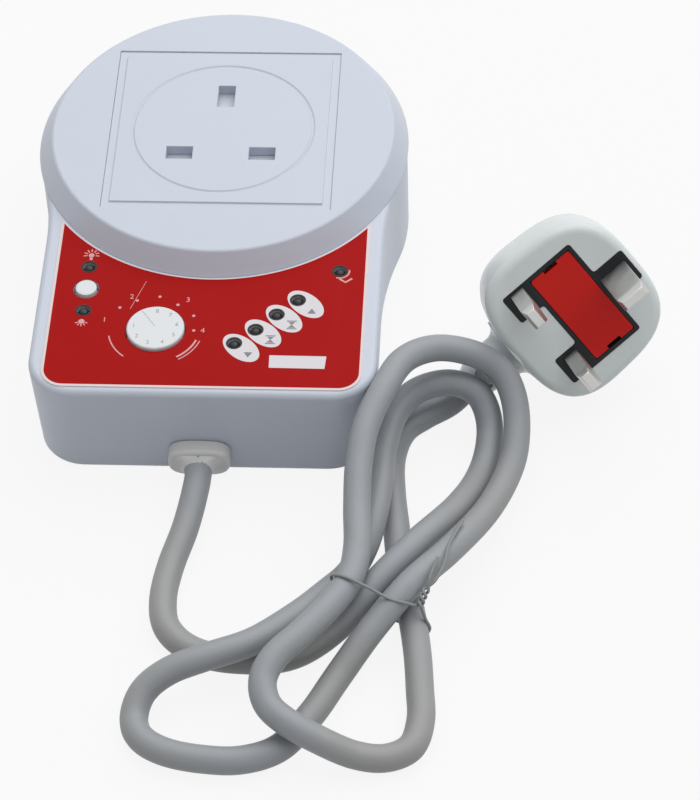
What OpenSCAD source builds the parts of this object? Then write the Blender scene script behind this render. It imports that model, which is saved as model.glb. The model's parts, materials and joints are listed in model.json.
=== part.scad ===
// Appliance voltage protector: a housing with one mains socket on a round tower, a front panel with
// a delay dial, a button and signal lamps, and a tied flexible cord that ends in a fused plug.

/* [Housing] */
// Height of the level top face above the surface that the housing stands on
face_h = 30; // [29:0.5:32]
// How far the round tower stays inside the cover's foot
tower_in = 0.4; // [0.2:0.1:0.8]
// How far each side of the front box stays inside the tower's side
box_in = 4.8; // [4.4:0.1:5.6]
// Distance from the round cover's front edge to the front wall
panel_reach = 41; // [40:0.5:44]
// Radius of the two upright front corners
corner_r = 12; // [9:0.5:13]
// Radius of the hollow sweep between the box side and the tower
waist_r = 88; // [70:1:100]
// How far each side wall leans inward from face to foot
side_lean = 1.3; // [0.6:0.1:1.6]
// How far the front wall leans inward from face to foot
front_lean = 0.8; // [0.4:0.1:1.2]
// Wall thickness
wall_t = 2.2; // [1.8:0.1:2.5]
// Thickness of the top face
face_t = 2.5; // [2:0.1:2.8]
// Rounding of the top edge
top_round = 1.8; // [1.2:0.1:2]
// Rounding of the foot edge
foot_round = 1.8; // [1.2:0.1:2]
// Thickness of the base plate
base_t = 2.5; // [2:0.1:3]

/* [Socket] */
// Height of the round cover above the face
cover_h = 6.2; // [5.8:0.1:7]
// Radius of the round cover at its foot
cover_r = 50; // [49.6:0.1:50.6]
// How far the cover's top edge stays inside its foot
cover_draw = 3.9; // [3.4:0.1:4.2]
// Thickness of the cover's skin
cover_t = 2.2; // [1.8:0.1:2.4]
// Distance from the square socket plate's corners to the cover's top edge
plate_corner_in = 2.97; // [2.5:0.01:3.6]
// Width of the sunk channel round the raised panel of the socket plate
channel_w = 2.2; // [1.8:0.1:2.6]
// Depth of the channel
channel_deep = 0.7; // [0.5:0.1:1]
// Radius of the circle line, as a share of the plate's width
circle_line_share = 0.4; // [0.38:0.005:0.42]
// Spacing of the two supply pins
pin_pitch = 22.23; // [22:0.01:22.4]
// Distance from the line of the supply pins to the earth pin
earth_reach = 22.23; // [22:0.01:22.4]
// Distance of the earth slot's centre behind the socket's centre
earth_y = 12.6; // [12:0.1:13]
// Supply slot, across
slot_w = 7.1; // [6.9:0.1:7.3]
// Supply slot, front to back
slot_d = 4.7; // [4.5:0.1:4.9]
// Earth slot, across
earth_slot_w = 4.6; // [4.4:0.1:4.8]
// Earth slot, front to back
earth_slot_d = 8.3; // [8.2:0.1:8.5]
// Travel of the safety shutter
shutter_travel = 5.8; // [5.6:0.1:6]

/* [Front panel] */
// Thickness of the front label
label_t = 0.3; // [0.2:0.05:0.4]
// Margin beside the label
label_side_in = 3.8; // [3.4:0.1:4.3]
// Margin in front of the label
label_front_in = 2; // [1.9:0.1:3]
// Corner radius of the label
label_r = 6; // [4:0.5:8]
// Gap between the label's hollow rear edge and the round cover
label_gap = 0.6; // [0.4:0.1:1]
// Diameter of a signal lamp
lamp_d = 3; // [2.9:0.1:3.1]
// Radius of the delay dial
dial_r = 7.5; // [7:0.1:8]
// Height of the dial above the face
dial_rise = 1.2; // [0.8:0.1:1.6]
// Radius of the push button
button_r = 2.8; // [2.6:0.1:3]
// Height of the button above the face
button_rise = 1; // [0.8:0.1:1.4]
// Travel of the push button
button_travel = 0.6; // [0.4:0.1:0.8]

/* [Cord and plug] */
// Diameter of the cord
cord_d = 7; // [6.8:0.1:7.2]
// Plug outline, across the supply pins
plug_w = 43; // [42:0.5:44]
// Plug outline, along the cord
plug_h = 40; // [39:0.5:41]
// Depth of the plug's body
plug_t = 22; // [20:0.5:23]
// Fuse carrier, across
carrier_w = 29.2; // [28.6:0.1:29.6]
// Fuse carrier, along the cord
carrier_h = 13.3; // [13:0.1:13.6]
// Length that a pin stands out of the plug's face
pin_out = 17.7; // [17:0.1:18.2]
// Length that the earth pin stands out of the plug's face
earth_out = 22.7; // [22.2:0.1:23]
// How far the plug's neck flares out toward the strain relief
neck_out = 3; // [2.5:0.5:3.5]
// Length of the strain relief
relief_len = 11; // [10:0.5:12]

/* [Hidden] */

// Overrun of every cut past its face
cut = 1;
// Clearance between pieces that are fitted and stay still
seat_gap = 0.2;
// Clearance round pieces that move by hand
move_gap = 0.3;
// Radial clearance of a shaft in its bearing
run_gap = 0.05;

// The socket's centre: the housing's box lies centred on the origin
socket_y = panel_reach / 2;
front_reach = cover_r + panel_reach;
tower_r = cover_r - tower_in;
box_w = 2 * (tower_r - box_in);
cavity_h = face_h - face_t;

tower_steps = 22;
// Screws of the base and their bosses
screw_r = 1.5;
screw_head_r = 2.8;
screw_head_t = 1.6;
pilot_r = 1.5;
screw_pass_r = 1.8;
screw_bite = 8;
boss_r = 3.5;
// Front bosses: in from the box's side and from the front wall
boss_in_x = 8.3;
boss_in_y = 8.5;
// Rear bosses: half spacing, and distance in from the tower's rear
rear_boss_x = 16;
rear_boss_in = 8.6;
boss_places = [for (s = [-1, 1]) each [[s * (box_w / 2 - boss_in_x), boss_in_y - front_reach],
    [s * rear_boss_x, tower_r - rear_boss_in]]];

// Socket plate in the round cover
cover_top_r = cover_r - cover_draw;
plate_w = sqrt(2) * (cover_top_r - plate_corner_in);
panel_w = plate_w - 2 * channel_w;
circle_line_r = circle_line_share * plate_w;
// Contact carrier: body, flange and pocket of the shutter
carrier_in = 3.5;
carrier_half = plate_w / 2 - carrier_in;
carrier_floor_h = 12;
carrier_skin = 1.6;
flange_out = 2.5;
flange_half = plate_w / 2 + flange_out;
flange_in = 3.1;
flange_r = cover_top_r - flange_in;
flange_t = 3.2;
flange_top = face_h + flange_t;
pocket_depth = 3.4;
pocket_floor = flange_top - pocket_depth;
plate_rim = 0.1;
plate_top = face_h + cover_h + plate_rim;
cover_screw_out = 6;
cover_screw_reach = flange_half + cover_screw_out;
cover_boss_r = 3.2;
cover_screw_len = 5.2;
supply_y = earth_y - earth_reach;

// Shutter
shutter_t = 1.8;
shutter_lift = 0.2;
blade_half_w = 16;
blade_lap = 0.65;
stem_half_w = 5;
ramp_lap = 0.45;
window_half_w = 1.8;
window_front = -5.4;
window_rear = 6.5;
post_front = -4.9;
post_rear = -3.4;
spring_r = 1.1;
spring_wire_r = 0.2;
spring_turns = 6;

// Brass contacts
contact_t = 0.8;
contact_head = 4.2;
contact_h = pocket_floor - carrier_floor_h - carrier_skin - contact_head;
contact_grip_shares = [1, 0.55, 0.8];
contact_well = 9;
earth_well_d = 12;
earth_well_w = 8;
tail_len = 5;
tail_w = 3;

// Front panel places, from the socket's centre
label_half_w = box_w / 2 - label_side_in;
label_reach = front_reach - label_front_in;
column_in = 8.9;
alarm_in = 7.3;
column_share = (column_in - label_half_w) / panel_reach;
alarm_share = (label_half_w - alarm_in) / panel_reach;
// Shares of the panel's reach: across from the middle, and back from the front wall
lamp_shares = [[column_share, 1.073], [column_share, 0.69], [0.19, 0.429], [0.317, 0.546],
    [0.4415, 0.6805], [0.568, 0.807], [alarm_share, 1.068]];
button_shares = [column_share, 0.878];
dial_side = 12.8;
dial_front_in = 22;
lamp_places = [for (s = lamp_shares) on_panel(s)];
button_place = on_panel(button_shares);
dial_place = [-dial_side, dial_front_in - front_reach];
lamp_hole_gap = 0.1;
lamp_flange = 0.25;
lamp_flange_t = 1;
lamp_rise = 0.4;
lamp_h = 5.3;
lamp_leg = 0.5;
lamp_leg_pitch = 2.54;
button_well_gap = 0.6;
button_flange = 1.6;
button_flange_t = 1.4;
button_stem_r = 1.75;
dial_t = 3.2;
dial_chamfer = 0.6;
dial_mark_w = 1.1;
dial_mark_deep = 0.5;
dial_mark_turn = 125;
dial_hub_r = 4.5;
dial_hub_gap = 3.1;
shaft_r = 3;

// Circuit board and what stands on it
board_t = 1.6;
board_top = 10;
board_side_in = 4.8;
board_front_in = 13.5;
board_under = 3;
board_half_w = box_w / 2 - board_side_in;
board_front = board_front_in - front_reach;
board_rear = board_front + panel_reach + board_under;
board_post_r = 3;
post_side_in = 4;
post_front_in = 6.5;
post_rear_in = 5;
board_post_places = [for (s = [-1, 1], y = [board_front + post_front_in, board_rear - post_rear_in])
    [s * (board_half_w - post_side_in), y]];
board_screw_r = 1.2;
board_hole_r = 1.5;
board_head_r = 2.3;
board_head_t = 1.5;
pot_w = 16;
pot_d = 17;
pot_h = 6.5;
bush_r = 4.5;
bush_h = 2.4;
dial_hub_h = face_h + dial_rise - dial_t - board_top - pot_h - bush_h - dial_hub_gap;
switch_w = 6;
switch_h = 3.5;
// Gap from the middle line to the relay and the transformer, and gaps over both
middle_gap = 2.5;
relay_head = 1.8;
transformer_head = 2.5;
relay_w = 19;
relay_size = [relay_w, 15.5, cavity_h - board_top - relay_head];
relay_share = 1.17;
transformer_w = 20;
transformer_size = [transformer_w, 20, cavity_h - board_top - transformer_head];
transformer_share = 1.122;
core_lap = 3;
capacitor_in = 7;
capacitor_shares = [[0, 1.244], [0, 1.049], [(board_half_w - capacitor_in) / panel_reach, 0.646]];
capacitor_radii = [2.2, 2.2, 4];
capacitor_h = 11;
terminal_size = [8.5, 12, 10];
terminal_front_in = 20.2;
terminal_hole_r = 1.5;
terminal_pitch = 4;

// Cord outlet
outlet_x = -1;
outlet_z = 7.5;
collar_w = 16;
collar_h = 9.4;
collar_out = 2.5;
neck_w = 13;
neck_h = 8.4;
neck_reach = 1.6;
sheath_len = 16;
clamp_w = 20;
clamp_d = 5;
clamp_t = 3;
clamp_pitch = 14;
clamp_back = 5;
clamp_post_r = 3;
clamp_screw_r = 1.2;
clamp_head_r = 2.2;

// Route of the cord from the gland to the plug's strain relief: it is folded into two upper and
// two lower loops that cross under the wire tie
cord_points = [
    [-1, -73, 7.5], [-1, -81, 7.5], [-3, -93, 5], [-6, -105, 3.5], [-7, -116, 3.5],
    [-5, -125, 3.5], [2, -131.5, 3.5], [13, -134, 3.5], [26, -132.5, 3.5], [37, -124.5, 5],
    [46, -115, 10.5], [56, -103, 12.5], [66, -87, 8], [71.5, -73, 4.5], [73.5, -62, 6],
    [72.5, -55.5, 9.5], [69, -52, 13], [62, -51, 14.5], [54, -53.5, 13.5], [49, -60, 12],
    [46.5, -71, 11], [46, -82, 10.5], [45, -92, 10], [43, -101, 8.5], [39.5, -109, 7.5],
    [34, -116, 8], [27, -125, 10], [17, -134, 11], [6, -139, 11], [-3, -142, 9],
    [-9, -146, 6], [-11, -152, 3.5], [-9, -158, 3.5], [-3, -162, 3.5], [6, -164, 3.5],
    [16, -164, 3.5], [25, -160, 3.5], [32, -150, 3.5], [38, -139, 4.5], [46, -128, 9.5],
    [55, -117, 13.5], [64.5, -105, 12.5], [73.5, -89, 9], [79, -74, 8], [80.5, -64, 10.5],
    [79.5, -55.5, 14.5], [76, -50, 18.5], [69, -48, 22.5], [59.5, -48.5, 25],
    [51.5, -54.5, 27], [46.8, -64.5, 27.5], [42.5, -75.5, 25], [41, -86, 21.5], [41, -97, 18],
    [41.5, -108, 16.5], [40, -118, 16], [35, -127, 16], [29, -135, 16], [23, -142, 15.5],
    [20.5, -148, 14], [22, -154, 12.5], [27, -158.5, 11.5], [35, -161.5, 8.5],
    [43, -162.5, 4.5], [50.5, -162.5, 3.5], [56.5, -159, 3.5], [58.5, -151, 3.5],
    [58, -142, 3.5], [57, -131, 4.5], [55, -119, 5.5], [52, -104, 4], [50.5, -92, 3.5],
    [49, -80, 3.5], [48.5, -68, 3.5], [51, -58.5, 3.5], [56.5, -53, 3.5], [63, -49, 4.5],
    [68, -45.5, 8]];
cord_sides = 8;
cord_steps = 2;

// Wire tie round the five strands: points of its loop and of its twisted tail
tie_points = [[55.5, -120.5, 17.5], [50.5, -119.5, 19.5], [44, -117.5, 21.3], [38, -115.5, 21.5],
    [33, -114, 18], [29.5, -112.8, 12], [29, -112.6, 7], [31, -113.2, 3.5], [37, -115, 1.4],
    [46, -118, 0.8], [54, -120.8, 0.8], [59, -122.5, 2], [60.8, -123.2, 6], [60, -123, 11],
    [59, -122.3, 15.5]];
tie_r = 0.5;
tie_sides = 6;
tie_steps = 3;
tail_start = [57.5, -121, 17.8];
tail_end = [63, -111, 18.5];
tail_twists = 3;
tail_rings = 24;
tail_pitch_r = 0.8;

// Plug, in its own frame: x from supply pin to supply pin, y to the earth pin, z out of its face
plug_turn_face = 12;
plug_turn_back = 59;
plug_turn_side = -56;
plug_mid_y = 0.7;
plug_power = 3;
plug_taper_share = 0.06;
plug_edge = 2.2;
plug_facets = 32;
plug_back_shares = [[1, 0.72], [0.98, 0.82], [0.92, 0.91], [0.82, 0.97], [0.68, 1]];
plug_supply_y = -8;
plug_earth_y = plug_supply_y + earth_reach;
cord_depth = 10;
insert_rim = 1.2;
insert_deep = 10.5;
insert_rise = 0.2;
insert_y = 2.65;
pad_w = 9.6;
pad_front = 4.6;
earth_pad_w = 10.6;
earth_pad_back = 5.4;
pin_w = 6.35;
pin_t = 3.97;
earth_pin_h = 7.92;
pin_root = 6;
pin_chamfer = 1.6;
carrier_plate_t = 1.8;
carrier_notch_w = 4.4;
carrier_notch_deep = 1;
carrier_leg_w = 3;
carrier_leg_t = 1.6;
carrier_leg_h = 3;
fuse_len = 25.4;
fuse_r = 3.175;
fuse_cap_len = 5.6;
fuse_cap_t = 0.15;
relief_base_r = 6.3;
relief_tip_r = 4.5;
relief_collar = 3;
relief_groove = 0.7;
relief_hole_r = 0.9;
relief_hole_deep = 2.6;
relief_hole_back = 7.2;
relief_hole_turn = 26;

// Colours
grey_shell = [0.82, 0.84, 0.88];
grey_cord = [0.56, 0.57, 0.58];
label_red = [0.64, 0.14, 0.15];
dark = [0.1, 0.1, 0.11];
steel = [0.72, 0.73, 0.75];
brass = [0.8, 0.66, 0.32];
board_green = [0.12, 0.4, 0.22];

// A place on the front panel, from its shares of the panel's reach
function on_panel(s) = [s.x * panel_reach, s.y * panel_reach - front_reach];

// Points of an arc
function arc(mid, r, from, to, n) =
    [for (i = [0:n]) let (a = from + (to - from) * i / n) mid + r * [cos(a), sin(a)]];
function backward(p) = [for (i = [len(p) - 1:-1:0]) p[i]];
function unit(v) = v / norm(v);
// A right half outline and its mirror image
function both_halves(half) = concat(half, [for (p = backward(half)) if (p.x > 0) [-p.x, p.y]]);

// The housing's outline round the socket's centre: a box with round corners, hollow sweeps
// and a round tower, at a height and drawn in by an inset
function plan(z, inset) = let (
    lean = 1 - z / face_h,
    w = box_w / 2 - side_lean * lean - inset,
    front = front_reach - front_lean * lean - inset,
    corner = corner_r - inset,
    tower = tower_r - inset,
    sweep = waist_r + inset,
    drop = sqrt(pow(tower + sweep, 2) - pow(w + sweep, 2)),
    turn = atan(drop / (w + sweep)))
    both_halves(concat(
        arc([w - corner, corner - front], corner, -90, 0, 8),
        arc([w + sweep, -drop], sweep, 180, 180 - turn, 8),
        arc([0, 0], tower, (90 + turn) / (tower_steps + 1) - turn, 90, tower_steps)));

function lifted(outline, z) = [for (p = outline) [p.x, p.y, z]];

// A closed skin over rings of equal point counts, the lowest ring first
module loft(rings) {
    n = len(rings[0]);
    m = len(rings);
    polyhedron(points = [for (r = rings) each r], faces = concat(
        [[for (i = [0:n - 1]) i]],
        [for (k = [0:m - 2], i = [0:n - 1]) each let (j = (i + 1) % n)
            [[k * n + i, (k + 1) * n + i, (k + 1) * n + j], [k * n + i, (k + 1) * n + j, k * n + j]]],
        [[for (i = [n - 1:-1:0]) (m - 1) * n + i]]));
}

// A tube along points, with square ends where an end direction is given
module tube(line, r, sides, first_way, last_way) {
    n = len(line);
    ways = [for (i = [0:n - 1]) i == 0 ? first_way : i == n - 1 ? last_way
        : unit(line[i + 1] - line[i - 1])];
    loft([for (i = [0:n - 1]) let (side = unit(cross(ways[i], [0, 0, 1])), up = cross(ways[i], side))
        [for (k = [0:sides - 1]) let (a = 360 * (k + 0.5) / sides)
            line[i] + r * (cos(a) * side + sin(a) * up)]]);
}

// A smooth line through points, with some steps from each point to the next
function smooth(p, steps) = concat([for (i = [0:len(p) - 2], k = [0:steps - 1]) let (
    a = i > 0 ? p[i - 1] : 2 * p[0] - p[1],
    d = i + 2 < len(p) ? p[i + 2] : 2 * p[i + 1] - p[i],
    t = k / steps)
    (2 * p[i] + (p[i + 1] - a) * t + (2 * a - 5 * p[i] + 4 * p[i + 1] - d) * t * t
        + (3 * p[i] - a - 3 * p[i + 1] + d) * t * t * t) / 2], [p[len(p) - 1]]);

module at_places(places) {
    for (p = places) translate([p.x, p.y, 0]) children();
}

module bar(w, d, h) {
    translate([-w / 2, -d / 2, 0]) cube([w, d, h]);
}

// A flat oblong with half round ends, across x
module oblong(w, h, t) {
    linear_extrude(t) union() {
        for (s = [-1, 1]) translate([s * (w - h) / 2, 0]) circle(h / 2, $fn = 48);
        square([w - h, h], center = true);
    }
}

module screw(r, length, head_r, head_t) {
    cylinder(length, r, r, $fn = 24);
    translate([0, 0, -head_t]) difference() {
        cylinder(head_t, head_r, head_r, $fn = 32);
        translate([-head_r, -r / 4, -cut]) cube([2 * head_r, r / 2, cut + head_t / 2]);
    }
}

module at_socket() {
    translate([0, socket_y, 0]) children();
}

// Housing

housing_steps = 4;
housing_rings = concat(
    [for (z = [cavity_h, 0]) lifted(plan(0, wall_t), z)],
    [for (i = [0:housing_steps]) let (a = 90 * i / housing_steps, z = foot_round * (1 - cos(a)))
        lifted(plan(z, foot_round * (1 - sin(a))), z)],
    [for (i = [0:housing_steps]) let (a = 90 * i / housing_steps,
        z = face_h - top_round * (1 - sin(a)))
        lifted(plan(z, top_round * (1 - cos(a))), z)]);

module outlet_hole(w, h) {
    translate([outlet_x, -front_reach - cut, outlet_z]) rotate([-90, 0, 0])
        oblong(w, h, cut + front_lean + 2 * wall_t);
}

module upper_housing() color(grey_shell) at_socket() difference() {
    union() {
        loft(housing_rings);
        intersection() {
            translate([0, 0, base_t]) at_places(boss_places)
                cylinder(cavity_h - base_t + face_t / 2, boss_r, boss_r, $fn = 40);
            linear_extrude(face_h) polygon(plan(0, wall_t / 2));
        }
    }
    at_places(boss_places) translate([0, 0, base_t - cut])
        cylinder(screw_bite + 2 * cut, pilot_r, pilot_r, $fn = 32);
    translate([0, 0, cavity_h - cut]) bar(2 * (carrier_half + seat_gap), 2 * (carrier_half + seat_gap),
        face_t + 2 * cut);
    for (a = [0:90:270]) rotate(a) translate([cover_screw_reach, 0, cavity_h - cut])
        cylinder(face_t + 2 * cut, screw_pass_r, screw_pass_r, $fn = 32);
    panel_holes(cavity_h - cut, face_h + cut);
    outlet_hole(neck_w + seat_gap, neck_h + seat_gap);
}

// The holes that the face and the label share
module panel_holes(low, high) {
    translate([0, 0, low]) {
        at_places(lamp_places) cylinder(high - low, lamp_d / 2 + lamp_hole_gap,
            lamp_d / 2 + lamp_hole_gap, $fn = 32);
        at_places([button_place]) cylinder(high - low, button_r + button_well_gap,
            button_r + button_well_gap, $fn = 40);
        at_places([dial_place]) cylinder(high - low, dial_r + move_gap, dial_r + move_gap, $fn = 64);
    }
}

module base_plate() color(grey_shell) at_socket() {
    difference() {
        union() {
            linear_extrude(base_t) polygon(plan(0, wall_t + seat_gap));
            at_places(board_post_places)
                cylinder(board_top - board_t, board_post_r, board_post_r, $fn = 32);
            at_places(clamp_places)
                cylinder(outlet_z, clamp_post_r, clamp_post_r, $fn = 32);
        }
        at_places(boss_places) {
            translate([0, 0, -cut]) cylinder(base_t + 2 * cut, screw_pass_r, screw_pass_r, $fn = 32);
            translate([0, 0, -cut])
                cylinder(cut + screw_head_t, screw_head_r + seat_gap, screw_head_r + seat_gap, $fn = 32);
        }
        at_places(board_post_places) translate([0, 0, base_t])
            cylinder(board_top, board_screw_r, board_screw_r, $fn = 24);
        at_places(clamp_places) translate([0, 0, base_t])
            cylinder(board_top, clamp_screw_r, clamp_screw_r, $fn = 24);
    }
}

module housing_screws() color(steel) at_socket() at_places(boss_places)
    translate([0, 0, screw_head_t]) screw(screw_r, screw_bite, screw_head_r, screw_head_t);

// Socket

module disc_cover() color(grey_shell) at_socket() difference() {
    union() {
        difference() {
            translate([0, 0, face_h]) cylinder(cover_h, cover_r, cover_top_r, $fn = 128);
            translate([0, 0, face_h - cut]) cylinder(cut + cover_h - cover_t, cover_r - cover_t,
                cover_top_r - cover_t, $fn = 128);
        }
        translate([0, 0, flange_top]) bar(2 * flange_half, 2 * flange_half, face_h + cover_h
            - cover_t / 2 - flange_top);
        for (a = [0:90:270]) rotate(a) translate([cover_screw_reach, 0, face_h])
            cylinder(cover_h - cover_t / 2, cover_boss_r, cover_boss_r, $fn = 32);
    }
    translate([0, 0, face_h]) bar(plate_w + 2 * seat_gap, plate_w + 2 * seat_gap, cover_h + cut);
    for (a = [0:90:270]) rotate(a) translate([cover_screw_reach, 0, face_h - cut])
        cylinder(cover_screw_len - face_t + cut, screw_r, screw_r, $fn = 24);
}

module cover_screws() color(steel) at_socket() for (a = [0:90:270]) rotate(a)
    translate([cover_screw_reach, 0, cavity_h])
        screw(screw_r, cover_screw_len - seat_gap, screw_head_r, screw_head_t);

module slot_cuts(low, high, extra) {
    for (s = [-1, 1]) translate([s * pin_pitch / 2, supply_y, low])
        bar(slot_w + extra, slot_d + extra, high - low);
    translate([0, earth_y, low]) bar(earth_slot_w + extra, earth_slot_d + extra, high - low);
}

plate_bevel = 0.3;
line_deep = 0.3;
line_w = 0.5;

// A square panel with a bevel all round its top, from a height up to the plate's top
module bevelled_panel(w, low) {
    intersection() {
        translate([0, 0, low]) bar(w, w, plate_top - low);
        for (a = [0, 90]) rotate(a) rotate([90, 0, 0]) translate([0, 0, -w])
            linear_extrude(2 * w) polygon([for (s = [-1, 1]) each s < 0
                ? [[-w / 2, low - cut], [-w / 2, plate_top - plate_bevel], [plate_bevel - w / 2, plate_top]]
                : [[w / 2 - plate_bevel, plate_top], [w / 2, plate_top - plate_bevel], [w / 2, low - cut]]]);
    }
}

// The square plate: a sunk channel runs round its raised panel, which carries the circle line
module socket_plate() color(grey_shell) at_socket() difference() {
    union() {
        translate([0, 0, flange_top]) bar(plate_w, plate_w, plate_top - channel_deep - flange_top);
        bevelled_panel(panel_w, flange_top);
    }
    slot_cuts(flange_top - cut, plate_top + cut, 0);
    translate([0, 0, plate_top - line_deep]) difference() {
        cylinder(cut, circle_line_r + line_w / 2, circle_line_r + line_w / 2, $fn = 96);
        translate([0, 0, -cut]) cylinder(3 * cut, circle_line_r - line_w / 2,
            circle_line_r - line_w / 2, $fn = 96);
    }
}

// The shutter's pocket runs far enough for its travel
pocket_front = supply_y - slot_d / 2 - blade_lap - shutter_travel - seat_gap;
pocket_rear = earth_y + earth_slot_d / 2 + seat_gap;
blade_front = supply_y - slot_d / 2 - blade_lap;
blade_rear = blade_front + shutter_travel + seat_gap;
ramp_rear = earth_y - earth_slot_d / 2 - ramp_lap + shutter_travel + seat_gap;

module contact_carrier() color("white") at_socket() difference() {
    union() {
        translate([0, 0, carrier_floor_h])
            bar(2 * carrier_half, 2 * carrier_half, face_h - carrier_floor_h);
        intersection() {
            translate([0, 0, face_h]) bar(2 * flange_half, 2 * flange_half, flange_t);
            translate([0, 0, face_h]) cylinder(flange_t, flange_r, flange_r, $fn = 96);
        }
    }
    difference() {
        translate([0, (pocket_front + pocket_rear) / 2, pocket_floor])
            bar(2 * (blade_half_w + move_gap), pocket_rear - pocket_front, pocket_depth + cut);
        translate([0, (post_front + post_rear) / 2, pocket_floor - cut])
            bar(2 * (window_half_w - move_gap), post_rear - post_front, cut + shutter_t + 2 * shutter_lift);
    }
    for (s = [-1, 1]) translate([s * pin_pitch / 2, supply_y, carrier_floor_h + carrier_skin])
        bar(contact_well, contact_well, face_h);
    translate([0, earth_y, carrier_floor_h + carrier_skin]) bar(earth_well_w, earth_well_d, face_h);
    for (s = [-1, 1]) translate([s * pin_pitch / 2, supply_y, carrier_floor_h - cut])
        bar(tail_w + seat_gap, contact_t + seat_gap, carrier_skin + 2 * cut);
    translate([0, earth_y, carrier_floor_h - cut])
        bar(contact_t + seat_gap, tail_w + seat_gap, carrier_skin + 2 * cut);
}

module shutter() color(grey_shell) at_socket() translate([0, 0, pocket_floor + shutter_lift])
    difference() {
        union() {
            translate([0, (blade_front + blade_rear) / 2, 0])
                bar(2 * blade_half_w, blade_rear - blade_front, shutter_t);
            translate([0, (blade_rear + ramp_rear) / 2, 0])
                bar(2 * stem_half_w, ramp_rear - blade_rear + 2 * seat_gap, shutter_t);
        }
        translate([0, (window_front + window_rear) / 2, -cut])
            bar(2 * window_half_w, window_rear - window_front, shutter_t + 2 * cut);
    }

module shutter_spring() color(steel) at_socket() {
    length = window_rear - post_rear - 2 * move_gap - 2 * spring_wire_r;
    line = [for (i = [0:spring_turns * 8]) let (a = 45 * i)
        [spring_r * cos(a), post_rear + move_gap + spring_wire_r + length * i / spring_turns / 8,
            pocket_floor + pocket_depth / 2 + spring_r * sin(a)]];
    n = len(line);
    loft([for (i = [0:n - 1]) let (a = 45 * i, out = [cos(a), 0, sin(a)], way = unit(
        line[min(i + 1, n - 1)] - line[max(i - 1, 0)]), up = cross(way, out))
        [for (k = [0:5]) line[i] + spring_wire_r * (cos(60 * k) * out + sin(60 * k) * up)]]);
}

// A U-shaped contact: two sprung leaves that close toward their middle, on a floor with a tail
module contact(span, depth) {
    low = carrier_floor_h + carrier_skin;
    for (s = [-1, 1]) rotate([90, 0, 0]) translate([0, low, -depth / 2]) linear_extrude(depth)
        polygon([for (side = [0, 1], i = side == 0 ? [0:2] : [2:-1:0]) [s * (span / 2
            * contact_grip_shares[i] + side * contact_t), contact_h * i / 2]]);
    translate([0, 0, low]) bar(span + 2 * contact_t, depth, contact_t);
}

module contact_tail() {
    translate([0, 0, carrier_floor_h + carrier_skin - tail_len]) bar(tail_w, contact_t, tail_len + contact_t / 2);
}

module line_contact() color(brass) at_socket() translate([-pin_pitch / 2, supply_y, 0]) {
    rotate(90) contact(pin_t, pin_w);
    contact_tail();
}

module neutral_contact() color(brass) at_socket() translate([pin_pitch / 2, supply_y, 0]) {
    rotate(90) contact(pin_t, pin_w);
    contact_tail();
}

module earth_contact() color(brass) at_socket() translate([0, earth_y, 0]) {
    contact(pin_t, earth_pin_h);
    rotate(90) contact_tail();
}

// Front panel

function label_outline() = let (r = cover_r + label_gap, turn = acos(label_half_w / r)) concat(
    arc([label_half_w - label_r, label_r - label_reach], label_r, -90, 0, 8),
    arc([0, 0], r, -turn, turn - 180, 40),
    arc([label_r - label_half_w, label_r - label_reach], label_r, 180, 270, 8));

module front_label() color(label_red) at_socket() difference() {
    translate([0, 0, face_h]) linear_extrude(label_t) polygon(label_outline());
    panel_holes(face_h - cut, face_h + label_t + cut);
}

module dial_knob() color("white") at_socket() at_places([dial_place]) {
    top = face_h + dial_rise;
    difference() {
        union() {
            translate([0, 0, top - dial_t]) cylinder(dial_t - dial_chamfer, dial_r, dial_r, $fn = 96);
            translate([0, 0, top - dial_chamfer])
                cylinder(dial_chamfer, dial_r, dial_r - dial_chamfer, $fn = 96);
            translate([0, 0, top - dial_t - dial_hub_h])
                cylinder(dial_hub_h + dial_t / 2, dial_hub_r, dial_hub_r, $fn = 48);
        }
        translate([0, 0, top - dial_t - dial_hub_h - cut])
            cylinder(dial_hub_h + cut, shaft_r + run_gap / 2, shaft_r + run_gap / 2, $fn = 48);
        rotate(dial_mark_turn) translate([0, -dial_mark_w / 2, top - dial_mark_deep])
            cube([dial_r - dial_chamfer, dial_mark_w, cut]);
    }
}

shaft_low = board_top + board_t;
module dial_shaft() color(steel) at_socket() at_places([dial_place])
    translate([0, 0, shaft_low]) cylinder(face_h + dial_rise - dial_t - shaft_low, shaft_r, shaft_r,
        $fn = 48);

module potentiometer() color(dark) at_socket() at_places([dial_place]) difference() {
    union() {
        translate([0, 0, board_top]) bar(pot_w, pot_d, pot_h);
        translate([0, 0, board_top + pot_h]) cylinder(bush_h, bush_r, bush_r, $fn = 48);
    }
    translate([0, 0, shaft_low - seat_gap])
        cylinder(pot_h + bush_h, shaft_r + run_gap, shaft_r + run_gap, $fn = 48);
}

plunger_top = board_top + 2 * switch_h;
module push_button() color("white") at_socket() at_places([button_place]) {
    flange_high = cavity_h - seat_gap;
    translate([0, 0, flange_high - cut]) cylinder(face_h + button_rise - flange_high + cut, button_r,
        button_r, $fn = 48);
    translate([0, 0, flange_high - button_flange_t])
        cylinder(button_flange_t, button_r + button_flange, button_r + button_flange, $fn = 48);
    translate([0, 0, plunger_top])
        cylinder(flange_high - plunger_top, button_stem_r, button_stem_r, $fn = 32);
}

plunger_low = board_top + button_travel + board_t / 2;
module switch_plunger() color("dimgray") at_socket() at_places([button_place])
    translate([0, 0, plunger_low]) cylinder(plunger_top - plunger_low, button_stem_r, button_stem_r,
        $fn = 32);

module tact_switch() color(dark) at_socket() at_places([button_place]) difference() {
    translate([0, 0, board_top]) bar(switch_w, switch_w, switch_h);
    translate([0, 0, plunger_low - button_travel - seat_gap])
        cylinder(switch_h, button_stem_r + run_gap, button_stem_r + run_gap, $fn = 32);
}

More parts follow.
